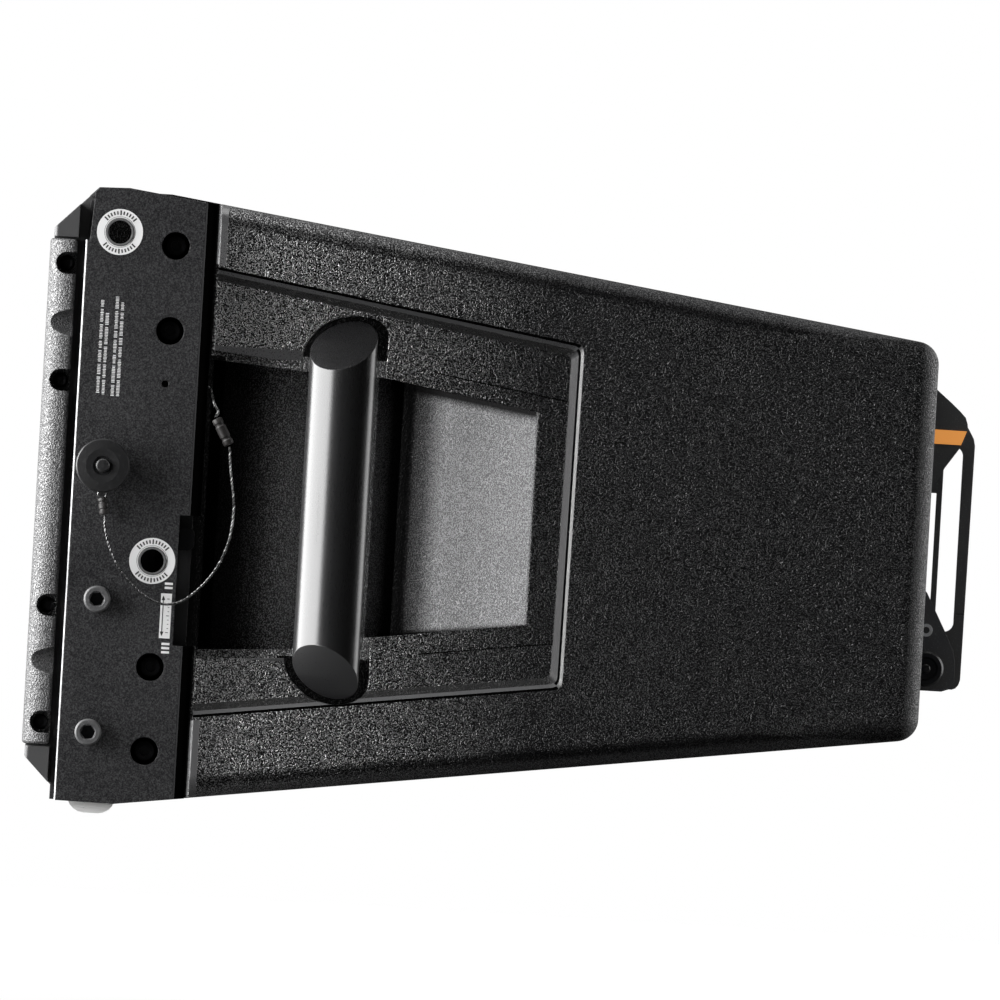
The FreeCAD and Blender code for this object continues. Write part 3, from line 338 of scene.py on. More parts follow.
def cabinet_plastic(name):
    """Moulded plastic: pebbled, with the plain strips and seams, and painted light and shade
    over the recess, round its seats, behind the side plate and on the top, bottom and rear
    edges.
    """
    k = CabinetNodes(name)
    y, z, inset, from_mid, pebbles = k.y, k.z, k.inset, k.from_mid, k.pebbles
    strip, lip, ledge = k.plain_bands()
    plain = k.larger(strip, lip)
    # the groove by the front strip is a dark line of painted shade
    groove_shade = k.mul(k.mul(k.between(y, 84.2, 84.9), k.off(k.in_recess)), k.below(inset, 4.0))

    def on_line(line):
        return k.below(k.size(k.sub(z, line_nodes(k, y, line))), 0.34)

    seam = k.mul(k.mul(k.larger(on_line(SEAM_TOP), on_line(SEAM_BASE)), ledge),
                 k.between(y, 186.0, 251.5))

    # the recess floor with painted light and shade by depth and height, and painted shadow under
    # its edges
    deep = k.mul(k.ramp(inset, span=(7.0, 8.5)), k.in_recess)
    light = recess_light(k)
    open_part = k.larger(k.ramp(from_mid, span=(42.0, 67.0), to=(1.0, 0.25)), k.above(y, 182.0))
    floor_color = k.node("ShaderNodeVectorMath", {0: light, "Scale": open_part},
                         operation="SCALE").outputs[0]
    under_top = k.sub(line_nodes(k, y, EAVES_TOP), z)
    over_base = k.sub(z, line_nodes(k, y, EAVES_BASE))
    eave_shadow = k.larger(k.ramp(under_top, span=(0.5, 4.2), to=(1.0, 0.0)),
                     k.ramp(over_base, span=(0.3, 2.6), to=(1.0, 0.0)))
    eave_shadow = k.mul(eave_shadow, k.mul(k.above(y, 166.0), deep))

    # painted shadow, kept black: seats in the recess and what lies behind the side plate
    seat = k.mul(k.mul(k.above(inset, 6.35), k.between(y, 119.0, 168.0)),
                 k.mul(k.in_recess, k.between(from_mid, 71.5, 98.0)))
    behind = k.larger(k.below(y, 79.6), k.mul(k.below(y, 86.5), k.below(from_mid, 69.4)))
    painted_shadow = k.larger(seat, behind)

    # parts told apart by the way they face: painted light on the rounded top, bottom and rear
    # edges, painted shade where the side turns into them
    rear = k.mul(k.ramp(k.normal[1], span=(0.30, 0.75)), k.above(y, 398.0))
    crown_light = k.larger(k.mul(k.ramp(k.upright, span=(0.45, 0.85)), k.outer), rear)
    shoulder_shade = k.mul(k.mul(k.ramp(k.upright, span=(0.05, 0.22)),
                           k.ramp(k.upright, span=(0.40, 0.62), to=(1.0, 0.0))), k.outer)
    facing = k.node("ShaderNodeLayerWeight").outputs["Facing"]
    sheer = k.mul(k.ramp(k.size(k.normal[0]), span=(0.7, 0.9)),
                  k.ramp(facing, span=(0.5, 0.8)))

    color = k.layers(
        k.mix(k.spread(k.broad), grey(0.0026, 0.0028), grey(0.0040, 0.0042)),
        (k.ramp(pebbles, span=(0.0, 0.5), to=(0.5, 0.0)), grey(0.0015)),
        (deep, floor_color),
        (k.mul(eave_shadow, 0.93), grey(0.001)),
        (k.mul(deep, k.ramp(pebbles, span=(0.1, 0.7), to=(0.45, 0.0))), grey(0.003)),
        (k.mul(crown_light, k.ramp(pebbles, span=(0.0, 1.0), to=(0.55, 1.0))), grey(0.034, 0.035)),
        (rear, grey(0.078, 0.079)),
        # the flat top and bottom get a milder painted light than the rounded edges
        (k.flat, grey(0.012, 0.0122)),
        (shoulder_shade, grey(0.0016, 0.0017)),
        # painted highlight on the plain front strip and the lips, painted shade in the groove
        (strip, grey(0.045, 0.046)),
        (groove_shade, grey(0.0005)),
        (lip, grey(0.014, 0.0145)),
        (seam, grey(0.0005)),
        (painted_shadow, grey(0.0006)))

    # gloss falls off to the rear and in the shaded recess, and sparkles on the pebbles
    gloss = k.ramp(y, span=(85.0, 240.0), to=(0.88, 0.13))
    lit = k.math("MINIMUM", k.mul(light, 22.0), 1.0)
    lit_recess = k.mul(k.mul(deep, k.off(eave_shadow)),
                       k.mul(lit, k.ramp(y, span=(180.0, 186.0), to=(1.0, 0.5))))
    gloss = k.mul(gloss, k.add(k.off(deep), lit_recess))
    sparkle = k.math("POWER", k.ramp(pebbles, span=(0.20, 1.0), to=(0.30, 1.85)), 2.6)
    gloss = k.mul(gloss, k.add(k.mul(sparkle, k.off(plain)), plain))
    dull = k.mul(k.dim(k.flat, to=0.16), k.dim(sheer, to=0.08))
    dull = k.mul(k.dim(seam, to=0.1), k.mul(k.dim(shoulder_shade, to=0.35), dull))
    gloss = k.mul(k.mul(gloss, dull), k.dim(painted_shadow, to=0.05))
    return k.complete(color, gloss, k.grained(plain))


def rear_rim(name):
    """Rear rim of the recess, by depth below the side: a painted highlight at the edge, a black
    line of painted shade, then grey.
    """
    k = CabinetNodes(name)
    depth = k.math("DIVIDE", k.inset, 6.0)
    black, lit = k.between(depth, 0.24, 0.42), k.below(depth, 0.24)
    dark = k.mix(k.spread(k.fine), grey(0.007, 0.0072), grey(0.012, 0.0124))
    color = k.layers(dark, (lit, grey(0.017)), (black, grey(0.0004)))
    gloss = k.mul(k.add(k.mul(lit, 0.17), 0.05), k.off(black))
    return k.complete(color, gloss, k.mul(k.fine, 0.3))


def long_rim(name):
    """Upper and lower rims of the recess: a black edge of painted shade, a smooth line of
    painted highlight, then grained.
    """
    k = CabinetNodes(name)
    depth = k.math("DIVIDE", k.inset, 6.0)
    black, lit = k.below(depth, 0.2), k.between(depth, 0.2, 0.48)
    color = k.layers(grey(0.004), (lit, grey(0.018, 0.0186)), (black, grey(0.0004)))
    gloss = k.mul(k.add(k.mul(lit, 0.18), 0.18), k.off(black))
    strip, lip, _ = k.plain_bands()
    height = k.mul(k.grained(k.larger(strip, lip)), k.off(lit))
    return k.complete(color, gloss, height)


def trim_plastic(name):
    """The same pebbled plastic on the front trims, painted much paler as painted light from the
    front.
    """
    k = Nodes(name, edge=0.0008)
    pebbles = pebble_field(k)
    broad = k.noise(scale=8.0, detail=4.0)
    color = k.layers(
        k.mix(k.spread(broad), grey(0.074, 0.075), grey(0.096, 0.098)),
        (k.ramp(pebbles, span=(0.0, 0.6), to=(0.55, 0.0)), grey(0.004)))
    rough = k.add(k.ramp(pebbles, span=(0.0, 1.0), to=(0.44, 0.30)),
                  k.spread(broad, to=(-0.03, 0.03)))
    gloss = k.math("POWER", k.ramp(pebbles, span=(0.0, 1.0), to=(0.45, 1.4)), 1.7)
    return k.finish(color, rough, height=pebbles, depth=0.00022, spec=k.mul(gloss, 0.7))


def plate_coat(name):
    """Powder-coated plate; the return behind its rear edge is painted black as painted shadow
    and has no gloss, with a painted highlight line on it and a painted highlight on the front
    edge.
    """
    k = Nodes(name, edge=0.0004)
    split = k.node("ShaderNodeSeparateXYZ", {0: k.coords}).outputs
    x, y = across_and_depth(k, split)
    fine = k.noise(scale=1450.0, detail=2.0, rough=0.6)
    broad = k.noise(scale=14.0, detail=5.0, rough=0.6)
    smear = k.noise(scale=60.0, detail=5.0, rough=0.7, coords=k.mapping((1.0, 1.0, 0.25)))
    pits = k.noise(scale=1050.0, detail=2.0, rough=0.6)
    turned = k.above(y, 73.2)
    front_edge_highlight = k.mul(k.below(y, 17.5), k.above(x, 283.2))
    color = k.layers(
        k.mix(k.spread(broad), grey(0.0055, 0.0063), grey(0.0085, 0.0094)),
        (k.mul(k.ramp(fine, span=(0.48, 0.66)), 0.8), grey(0.034, 0.036)),
        (k.mul(k.ramp(pits, span=(0.52, 0.70)), 0.7), grey(0.003, 0.0035)),
        (k.mul(k.ramp(smear, span=(0.60, 0.76)), 0.25), grey(0.03, 0.032)),
        # painted shadow on the turned-back return, a painted highlight line along it, and a
        # painted highlight on the front edge
        (turned, grey(0.0006)),
        (k.between(y, 73.3, 74.1), grey(0.030, 0.031)),
        (k.mul(front_edge_highlight, k.ramp(broad, span=(0.3, 0.6), to=(0.5, 1.0))), grey(0.55, 0.56)))
    rough = k.add(k.spread(broad, to=(0.36, 0.46)), k.spread(fine, to=(-0.03, 0.03)))
    gloss = k.mul(k.off(turned), k.ramp(fine, span=(0.35, 0.65), to=(0.30, 0.85)))
    return k.finish(color, rough, height=fine, depth=0.00007, strength=0.8, spec=gloss)


MATERIALS = {
    "grain": cabinet_plastic("grained_cabinet_plastic"),
    "rim_rear": rear_rim("recess_rear_rim"),
    "rim_long": long_rim("recess_long_rim"),
    "plate": plate_coat("powder_coated_side_plate"),
    "grain_trim": trim_plastic("grained_trim_plastic"),
    "smooth": surface("smooth_black_plastic", grey(0.014, 0.0145), rough=0.38, grain=1900.0,
                      depth=0.000012, wear=0.15, worn=grey(0.05), edge=0.0010),
    "frame": surface("satin_frame_plastic", grey(0.040, 0.041), rough=0.42, grain=2200.0,
                     depth=0.00002, wear=0.2, worn=grey(0.10), edge=0.0006),
    "powder": surface("powder_coated_steel", grey(0.0105, 0.0115), rough=0.42, grain=2400.0,
                      depth=0.00004, var=0.08, rough_var=0.05, wear=0.10,
                      worn=grey(0.10, 0.105), edge=0.0004, speck=0.5),
    "grip": surface("satin_grip_tube", grey(0.0024, 0.0026), rough=0.28, grain=2400.0,
                    depth=0.000003, stretch=(1.0, 1.0, 0.1), rough_var=0.02, wear=0.1,
                    worn=grey(0.03), spec=0.6, edge=0.0005),
    "zinc": metal("zinc_plated_steel", grey(0.62, 0.60), rough=0.30),
    "bright": metal("bright_plated_steel", grey(0.86, 0.85), rough=0.24, wear=0.08),
    "darkscrew": surface("oxidised_screw_steel", grey(0.060, 0.062), rough=0.50, metallic=0.35,
                         var=0.35, rough_var=0.2, grain=1700.0, depth=0.00012, wear=0.5,
                         worn=grey(0.16), speck=0.8, edge=0.0003),
    # plated metal ends painted white, a painted reflection of the white backdrop
    "end_reflection": surface("bright_end_painted_reflection", grey(0.74, 0.73), rough=0.3, var=0.04,
                          depth=0.00001, wear=0.1, edge=0.0003),
    "arm": surface("powder_coated_arm", grey(0.090, 0.091), rough=0.44, grain=2400.0,
                   depth=0.00004, var=0.1, rough_var=0.05, wear=0.15, worn=grey(0.12),
                   edge=0.0005, speck=0.5),
    "black_screw": metal("blackened_screw_steel", grey(0.030, 0.032), rough=0.32),
    "white": surface("white_printed_label", grey(0.66), rough=0.42, var=0.03, grain=2600.0,
                     depth=0.000008),
    "ink": surface("dark_printed_mark", grey(0.03), rough=0.5, var=0.1, grain=2600.0,
                   depth=0.000004),
    "pale": surface("pale_printed_mark", grey(0.42), rough=0.5, var=0.08, grain=2600.0,
                    depth=0.000004),
    # the printed band also glows: painted light
    "orange": surface("orange_printed_band", (0.90, 0.36, 0.085), var=0.05, grain=2200.0,
                      depth=0.000012, emit=0.55),
    "knob": surface("black_anodised_knob", grey(0.0075, 0.0080), rough=0.42, metallic=0.1,
                    var=0.35, rough_var=0.16, grain=900.0, depth=0.00005, wear=0.4,
                    worn=grey(0.05), edge=0.0004, speck=0.6),
    "sleeve": surface("crimp_sleeve", (0.0145, 0.0132, 0.0130), rough=0.46, grain=900.0,
                      depth=0.00006, wear=0.3, worn=(0.07, 0.065, 0.06), spec=0.35,
                      edge=0.0003, speck=0.5),
    "cable": metal("stranded_steel_cable", grey(0.15), rough=0.24, grain=2400.0, wear=0.5,
                   var=0.3, edge=0.0),
    "foam": surface("open_cell_foam", grey(0.010), rough=0.95, grain=900.0, depth=0.0005,
                    var=0.4, spec=0.1),
    "grille": surface("grille_powder_coat", grey(0.011, 0.0115), rough=0.46, grain=2600.0,
                      wear=0.2, worn=grey(0.05)),
    "plywood": surface("black_stained_plywood", (0.018, 0.016, 0.014), rough=0.7, grain=260.0,
                       depth=0.0001, stretch=(0.15, 1.0, 3.0), var=0.2),
    "alloy": surface("painted_cast_alloy", grey(0.045, 0.047), rough=0.5, metallic=0.3,
                     grain=1300.0, depth=0.00006, wear=0.4, worn=grey(0.3)),
    "magnet": metal("plated_magnet", grey(0.55, 0.57), rough=0.25),
    "rubber": surface("matt_rubber", grey(0.016), rough=0.72, grain=1300.0, depth=0.00004,
                      spec=0.3),
    "cloth": surface("treated_cloth", (0.50, 0.34, 0.14), rough=0.85, grain=900.0,
                     depth=0.0003),
    "cone": surface("coated_pulp_cone", grey(0.018), rough=0.66, grain=500.0, depth=0.0002,
                    var=0.3),
    "copper": metal("enamelled_copper", (0.72, 0.36, 0.18), rough=0.25,
                    stretch=(0.05, 4.0, 0.05)),
    "nylon": surface("machined_nylon", grey(0.05), rough=0.55, grain=700.0),
    "panel": surface("coated_aluminium_panel", grey(0.020, 0.022), rough=0.48, metallic=0.1,
                     grain=2400.0, wear=0.15, worn=grey(0.15), edge=0.0003, speck=0.4),
    "anod": metal("black_anodised_fins", grey(0.045, 0.048), rough=0.42, stretch=(1, 1, 0.1)),
    "lens": surface("indicator_lens", (0.04, 0.32, 0.09), rough=0.12, var=0.1, grain=800.0,
                    depth=0.000006, coat=0.6, emit=0.5),
    "window": surface("display_window", (0.006, 0.010, 0.014), rough=0.08, var=0.1,
                      grain=700.0, depth=0.000002, coat=0.8),
    "glow": surface("display_bars", (0.55, 0.75, 0.85), rough=0.3, var=0.05, grain=900.0,
                    depth=0.000002, emit=1.2),
    "socket": metal("black_nickel_socket", grey(0.14, 0.145), rough=0.28),
    "mains": surface("blue_socket_plastic", (0.02, 0.05, 0.22), rough=0.34, grain=1700.0,
                     depth=0.00002, coat=0.2, edge=0.0004),
    "dial": surface("soft_touch_knob", grey(0.022), rough=0.6, grain=1600.0, wear=0.2,
                    worn=grey(0.08), edge=0.0004),
    "board": surface("circuit_board_laminate", (0.012, 0.10, 0.035), rough=0.35, grain=400.0,
                     coat=0.3),
    "power": surface("wound_transformer", (0.30, 0.14, 0.04), rough=0.4, grain=600.0,
                     depth=0.0001, stretch=(1, 6, 1)),
    "film": metal("formed_diaphragm", grey(0.7, 0.72), rough=0.3),
    # kept in the palette, though no piece wears it
    "gold": metal("contact_pin_gold", (0.80, 0.58, 0.22), rough=0.25, edge=0.0),
}

# CAD piece, without _right or _left, and its material
PART_MATERIALS = {
    "cabinet_shell": "grain", "front_frame": "frame", "front_trims": "grain_trim",
    "front_grille": "grille", "grille_foam": "foam", "trim_screws": "black_screw",
    "woofer_baffle": "plywood", "waveguide": "smooth", "compression_driver": "alloy",
    "phase_plug": "smooth", "compression_diaphragm": "film", "woofer_baskets": "alloy",
    "woofer_magnets": "magnet", "woofer_surrounds": "rubber", "woofer_spiders": "cloth",
    "woofer_cone": "cone", "voice_coil": "copper", "woofer_screws": "zinc",
    "damping_foam": "foam", "side_plate": "plate", "back_plates": "powder",
    "plate_spacers": "black_screw", "plate_screws": "black_screw",
    "guide_screws": "darkscrew", "hole_bushes": "darkscrew", "label_rings": "white",
    "front_bracket": "bright", "quick_pin": "knob", "pin_button": "knob",
    "pin_ferrule": "sleeve", "lanyard": "cable", "lanyard_ferrules": "sleeve",
    "handle_bar": "grip", "handle_bolts": "zinc", "rear_bracket": "arm",
    "rear_screws": "black_screw", "rear_link_arm": "arm", "arm_guides": "nylon",
    "index_bands": "orange", "rear_pin": "knob", "rear_pin_button": "knob",
    "amp_panel": "panel", "panel_gasket": "rubber", "heat_sink": "anod",
    "indicator_lights": "lens", "signal_sockets": "socket", "mains_sockets": "mains",
    "control_knob": "dial", "control_button": "dial", "amp_board": "board",
    "power_supply": "power"}
GUIDE_HEADS = ((32.1, -49.5), (31.4, -113.0))   # Y, Z of the guide screws, whose sockets are painted darker as shade in the hole


def on_rim(centre, normal):
    """True for the faces of the wall around the side recess."""
    x, y, z = abs(centre[0]), centre[1], centre[2]
    top, base = line_height(RECESS_TOP, y), line_height(RECESS_BASE, y)
    if not (76 < y < 264 and x > 240 and base - 0.6 < z < top + 0.6):
        return False
    square = abs(normal[0]) * math.cos(SIDE_LEAN) + normal[1] * math.sin(SIDE_LEAN)
    inset = SIDE_X - (y - SIDE_Y) * math.tan(SIDE_LEAN) - x
    near = z > top - 9 or z < base + 9 or y > 248
    return square < 0.985 and -0.3 < inset < 6.3 and near and abs(normal[0]) > 0.12


def on_guide_head(centre, normal):
    return any(math.hypot(centre[1] - y, centre[2] - z) < 2.9 for y, z in GUIDE_HEADS)


# piece, material, and the test of a face's centre c and normal n that gives it the material
FACE_MATERIALS = [
    ("cabinet_shell", "rim_rear", lambda c, n: on_rim(c, n) and n.y < -0.35),
    ("cabinet_shell", "rim_long", lambda c, n: on_rim(c, n) and n.y >= -0.35),
    ("indicator_lights", "window", lambda c, n: c[0] > 97.0),
    ("hole_bushes", "end_reflection", lambda c, n: c[1] > 300.0),
    # the guide screws' sockets darkened: painted shade in the hole
    ("guide_screws", "black_screw", on_guide_head)]
for side, _ in SIDES:
    FACE_MATERIALS += [
        ("front_bracket_" + side, "black_screw", lambda c, n: c[1] > 46.0 and c[2] > -60),
        ("front_bracket_" + side, "end_reflection", lambda c, n: c[2] < -140.0)]


def paint_parts():
    for name, part in PARTS.items():
        kind = name.removesuffix("_right").removesuffix("_left")
        part.data.materials.clear()
        part.data.materials.append(MATERIALS[PART_MATERIALS[kind]])
    for name, material, test in FACE_MATERIALS:
        data = PARTS[name].data
        data.materials.append(MATERIALS[material])
        for face in data.polygons:
            c = face.center
            if test((c.x / MM, c.y / MM + Y0, c.z / MM - Z0), face.normal):
                face.material_index = len(data.materials) - 1


# ------------------------------------------------------------ mesh helpers
def make(name, bm, materials, body="root", smooth=True, angle=30.0):
    """Makes the object, carried by a body unless that is None; angle parts sharp edges."""
    mesh = bpy.data.meshes.new(name)
    bmesh.ops.remove_doubles(bm, verts=bm.verts, dist=1e-7)
    bmesh.ops.recalc_face_normals(bm, faces=bm.faces)
    bm.to_mesh(mesh)
    bm.free()
    for key in materials:
        mesh.materials.append(MATERIALS[key])
    if smooth:
        for face in mesh.polygons:
            face.use_smooth = True
        mesh.set_sharp_from_angle(angle=math.radians(angle))
    obj = bpy.data.objects.new(name, mesh)
    bpy.context.scene.collection.objects.link(obj)
    if body:
        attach(obj, body)
    return obj


def add_prism(bm, outline, axis, low, high, material=0):
    """Extrudes an outline along X (outline in Y, Z) or along Y (outline in X, Z)."""
    def place(u, v, w):
        return point(w, u, v) if axis == "X" else point(u, w, v)
    a = [bm.verts.new(place(u, v, low)) for u, v in outline]
    b = [bm.verts.new(place(u, v, high)) for u, v in outline]
    faces = [bm.faces.new(a), bm.faces.new(list(reversed(b)))]
    for i in range(len(outline)):
        j = (i + 1) % len(outline)
        faces.append(bm.faces.new((a[i], b[i], b[j], a[j])))
    for face in faces:
        face.material_index = material


def side_prism(bm, outline, sign, span, material=0):
    """A prism between two distances from the middle, on the side of the sign."""
    low, high = sorted(sign * x for x in span)
    add_prism(bm, outline, "X", low, high, material)


def rectangle(u0, u1, v0, v1):
    return [(u0, v0), (u1, v0), (u1, v1), (u0, v1)]


def radial_tick(centre, angle, inner, outer, half):
    """Outline of a stroke between two radii; half is half its width."""
    u, v = centre
    c, s = math.cos(angle), math.sin(angle)
    return [(u + inner * c - half * s, v + inner * s + half * c),
            (u + outer * c - half * s, v + outer * s + half * c),
            (u + outer * c + half * s, v + outer * s - half * c),
            (u + inner * c + half * s, v + inner * s - half * c)]


def ring_piece(centre, inner, outer, index, count):
    """Outline of one of the equal pieces of a flat ring."""
    u, v = centre
    a, b = 2 * math.pi * index / count, 2 * math.pi * (index + 1) / count
    return [(u + r * math.cos(angle), v + r * math.sin(angle))
            for r, angle in ((inner, a), (outer, a), (outer, b), (inner, b))]


def path_frames(path, closed=False):
    """Each point of a path with two directions square to it, carried on without twist."""
    n, frames, previous = len(path), [], None
    for i, p in enumerate(path):
        a = path[i - 1] if (i > 0 or closed) else p
        b = path[(i + 1) % n] if (i < n - 1 or closed) else p
        along = (b - a).normalized()
        if previous is None:
            u = Vector((0.13, 0.27, 0.95)).cross(along).normalized()
        else:
            u = (previous - along * previous.dot(along)).normalized()
        previous = u
        frames.append((p, u, along.cross(u)))
    return frames


def circle(centre, u, v, radius, sides):
    angles = [2 * math.pi * k / sides for k in range(sides)]
    return [centre + (u * math.cos(a) + v * math.sin(a)) * radius for a in angles]


def add_tube(bm, path, radius, sides, closed=False):
    """Sweeps a round section along a path in metres."""
    rings = [[bm.verts.new(p) for p in circle(centre, u, v, radius, sides)]
             for centre, u, v in path_frames(path, closed)]
    n = len(path)
    for i in range(n if closed else n - 1):
        a, b = rings[i], rings[(i + 1) % n]
        for k in range(sides):
            j = (k + 1) % sides
            bm.faces.new((a[k], a[j], b[j], b[k]))
    if not closed:
        bm.faces.new(list(reversed(rings[0])))
        bm.faces.new(rings[-1])


def add_lathe(bm, profile, origin, axis, sides):
    """Revolves (radius, height) pairs in metres about an axis through origin."""
    axis = axis.normalized()
    u = axis.orthogonal().normalized()
    v = axis.cross(u)
    rings = []
    for radius, height in profile:
        centre = origin + axis * height
        ring = [centre] if radius < 1e-7 else circle(centre, u, v, radius, sides)
        rings.append([bm.verts.new(p) for p in ring])
    for a, b in zip(rings, rings[1:]):
        for k in range(sides):
            j = (k + 1) % sides
            if len(a) == 1:
                bm.faces.new((a[0], b[k], b[j]))
            elif len(b) == 1:
                bm.faces.new((a[k], a[j], b[0]))
            else:
                bm.faces.new((a[k], a[j], b[j], b[k]))


def curve_points(points, per):
    """Catmull-Rom samples through working points, in metres; per is the count per span."""
    q = [point(*p) for p in points]
    q = [q[0] * 2 - q[1]] + q + [q[-1] * 2 - q[-2]]
    samples = []
    for a, b, c, d in zip(q, q[1:], q[2:], q[3:]):
        for s in range(per):
            t = s / per
            samples.append(0.5 * ((2 * b) + (-a + c) * t + (2 * a - 5 * b + 4 * c - d) * t * t
                                  + (-a + 3 * b - 3 * c + d) * t ** 3))
    samples.append(q[-2])
    return samples


def resample(path, step):
    """Points an equal step apart along a path, with its end."""
    samples, run = [path[0]], 0.0
    for a, b in zip(path, path[1:]):
        length = (b - a).length
        while run + length >= step:
            a = a + (b - a) * ((step - run) / length)
            length = (b - a).length
            samples.append(a)
            run = 0.0
        run += length
    if (samples[-1] - path[-1]).length > step * 0.3:
        samples.append(path[-1])
    return samples


def add_sheet(bm, nx, nz, place_pair):
    """A closed sheet of nx by nz cells; place_pair(u, v) gives the points of its two faces."""
    grid = [[place_pair(i / nx, j / nz) for i in range(nx + 1)] for j in range(nz + 1)]
    a = [[bm.verts.new(pair[0]) for pair in row] for row in grid]
    b = [[bm.verts.new(pair[1]) for pair in row] for row in grid]
    for j in range(nz):
        for i in range(nx):
            bm.faces.new((a[j][i], a[j][i + 1], a[j + 1][i + 1], a[j + 1][i]))
            bm.faces.new((b[j][i], b[j + 1][i], b[j + 1][i + 1], b[j][i + 1]))
    for i in range(nx):
        bm.faces.new((a[0][i], b[0][i], b[0][i + 1], a[0][i + 1]))
        bm.faces.new((a[nz][i], a[nz][i + 1], b[nz][i + 1], b[nz][i]))
    for j in range(nz):
        bm.faces.new((a[j][0], a[j + 1][0], b[j + 1][0], b[j][0]))
        bm.faces.new((a[j][nx], b[j][nx], b[j + 1][nx], a[j + 1][nx]))


# ------------------------------------------------------- perforated grille
GRILLE_X, GRILLE_Z = 257.4, 121.0       # half sizes of the grille
PITCH, HOLE_RADIUS = 6.4, 2.15
FIELD_X, FIELD_Z = GRILLE_X - PITCH, GRILLE_Z - PITCH   # half sizes of the holes' field
SHEET_FRONT, SHEET_BACK = 1.65, 2.85
FLANGE_END = 10.8                       # depth of the turned edge


def hole_field(bm):
    """Hexagonal cells in staggered rows, each with a six-sided hole through the sheet."""
    shared = {}

    def corner(x, z, y):
        key = (round(x, 3), round(z, 3), y)
        if key not in shared:
            shared[key] = bm.verts.new(point(x, y, z))
        return shared[key]

    row_step = PITCH * math.sqrt(3) / 2
    cell_radius = PITCH / math.sqrt(3)
    columns = int(2 * FIELD_X / PITCH) - 1
    rows = int(2 * FIELD_Z / row_step) - 1
    for row in range(rows):
        z = -(rows - 1) * row_step / 2 + row * row_step
        for column in range(columns - (row % 2)):
            x = -(columns - 1) * PITCH / 2 + column * PITCH + (PITCH / 2 if row % 2 else 0.0)
            outer, inner, outer_back, inner_back = [], [], [], []
            for k in range(6):
                c, s = math.cos(math.radians(30 + 60 * k)), math.sin(math.radians(30 + 60 * k))
                cell = (x + cell_radius * c, z + cell_radius * s)
                hole_x, hole_z = x + HOLE_RADIUS * c, z + HOLE_RADIUS * s
                outer.append(corner(*cell, SHEET_FRONT))
                outer_back.append(corner(*cell, SHEET_BACK))
                inner.append(bm.verts.new(point(hole_x, SHEET_FRONT, hole_z)))
                inner_back.append(bm.verts.new(point(hole_x, SHEET_BACK, hole_z)))
            for k in range(6):
                j = (k + 1) % 6
                bm.faces.new((outer[k], outer[j], inner[j], inner[k]))
                bm.faces.new((outer_back[j], outer_back[k], inner_back[k], inner_back[j]))
                bm.faces.new((inner[k], inner[j], inner_back[j], inner_back[k]))


def field_edge(edges, y):
    """The vertices of the field's jagged edge at depth y, in order round it."""
    level = point(0, y, 0).y
    neighbours = {}
    for edge in edges:
        a, b = edge.verts
        if abs(a.co.y - level) < 1e-6 and abs(b.co.y - level) < 1e-6:
            neighbours.setdefault(a, []).append(b)
            neighbours.setdefault(b, []).append(a)
    start = next(iter(neighbours))
    loop, previous, current = [start], None, start
    while True:
        following = [v for v in neighbours[current] if v is not previous][0]
        if following is start:
            return loop
        loop.append(following)
        previous, current = current, following


def onto_rectangle(vert, half_x, half_z, y):
    """Moves a vertex of the field's edge out to a rectangle at depth y."""
    x, z = vert.co.x / MM, vert.co.z / MM - Z0
    if abs(x) > FIELD_X - 12 and abs(z) > FIELD_Z - 12:
        scale = min(half_x / abs(x), half_z / abs(z))
        return point(max(-half_x, min(half_x, x * scale)), y,
                     max(-half_z, min(half_z, z * scale)))
    if half_x - abs(x) < half_z - abs(z):
        stretch = half_z / FIELD_Z if abs(z) > FIELD_Z - 20 else 1.0
        return point(math.copysign(half_x, x), y, z * stretch)
    stretch = half_x / FIELD_X if abs(x) > FIELD_X - 20 else 1.0
    return point(x * stretch, y, math.copysign(half_z, z))


def add_margin(bm, loop, steps):
    """Joins the edge of the holes through rectangles given as (inset, depth)."""
    previous = loop
    for inset, y in steps:
        ring = [bm.verts.new(onto_rectangle(v, GRILLE_X - inset, GRILLE_Z - inset, y))
                for v in loop]
        for i in range(len(loop)):
            j = (i + 1) % len(loop)
            bm.faces.new((previous[i], previous[j], ring[j], ring[i]))
        previous = ring
    return previous


def perforated_grille():
    bm = bmesh.new()
    hole_field(bm)
    open_edges = [e for e in bm.edges if len(e.link_faces) == 1]
    front, back = field_edge(open_edges, SHEET_FRONT), field_edge(open_edges, SHEET_BACK)
    front_end = add_margin(bm, front, [(1.2, SHEET_FRONT), (0.35, SHEET_FRONT + 0.3),
                                       (0.0, SHEET_FRONT + 1.2), (0.0, FLANGE_END)])

    # start and turn the back loop like the front one
    def place(vert):
        return round(vert.co.x, 5), round(vert.co.z, 5)
    start = [place(v) for v in back].index(place(front[0]))
    back = back[start:] + back[:start]
    if place(back[1]) != place(front[1]):
        back = [back[0]] + list(reversed(back[1:]))
    back_end = add_margin(bm, back, [(2.4, SHEET_BACK), (1.3, SHEET_BACK + 1.0),
                                     (1.2, FLANGE_END)])
    for i in range(len(front_end)):
        j = (i + 1) % len(front_end)
        bm.faces.new((front_end[i], front_end[j], back_end[j], back_end[i]))
    grille = make("perforated_grille", bm, ["grille"], angle=35)
    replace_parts(grille, "front_grille")


# ---------------------------------------------------- acoustic foam
def grille_foam():
    """A thin uneven sheet behind the grille."""
    def place_pair(u, v):
        x, z = -255.4 + 510.8 * u, -119.0 + 238.0 * v
        flat = min(1.0, min(u, 1 - u) * 40, min(v, 1 - v) * 20)   # falls to 0 at the edges
        uneven = 0.35 * (math.sin(x * 0.21 + z * 0.13) + math.sin(x * 0.07 - z * 0.19))
        uneven += random.uniform(-0.18, 0.18)
        return (point(x, 3.9 - 0.45 * flat + 0.3 * uneven * flat, z),
                point(x, 8.1 + 0.25 * uneven * flat, z))
    bm = bmesh.new()
    add_sheet(bm, 96, 46, place_pair)
    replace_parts(make("grille_foam_sheet", bm, ["foam"]), "grille_foam")


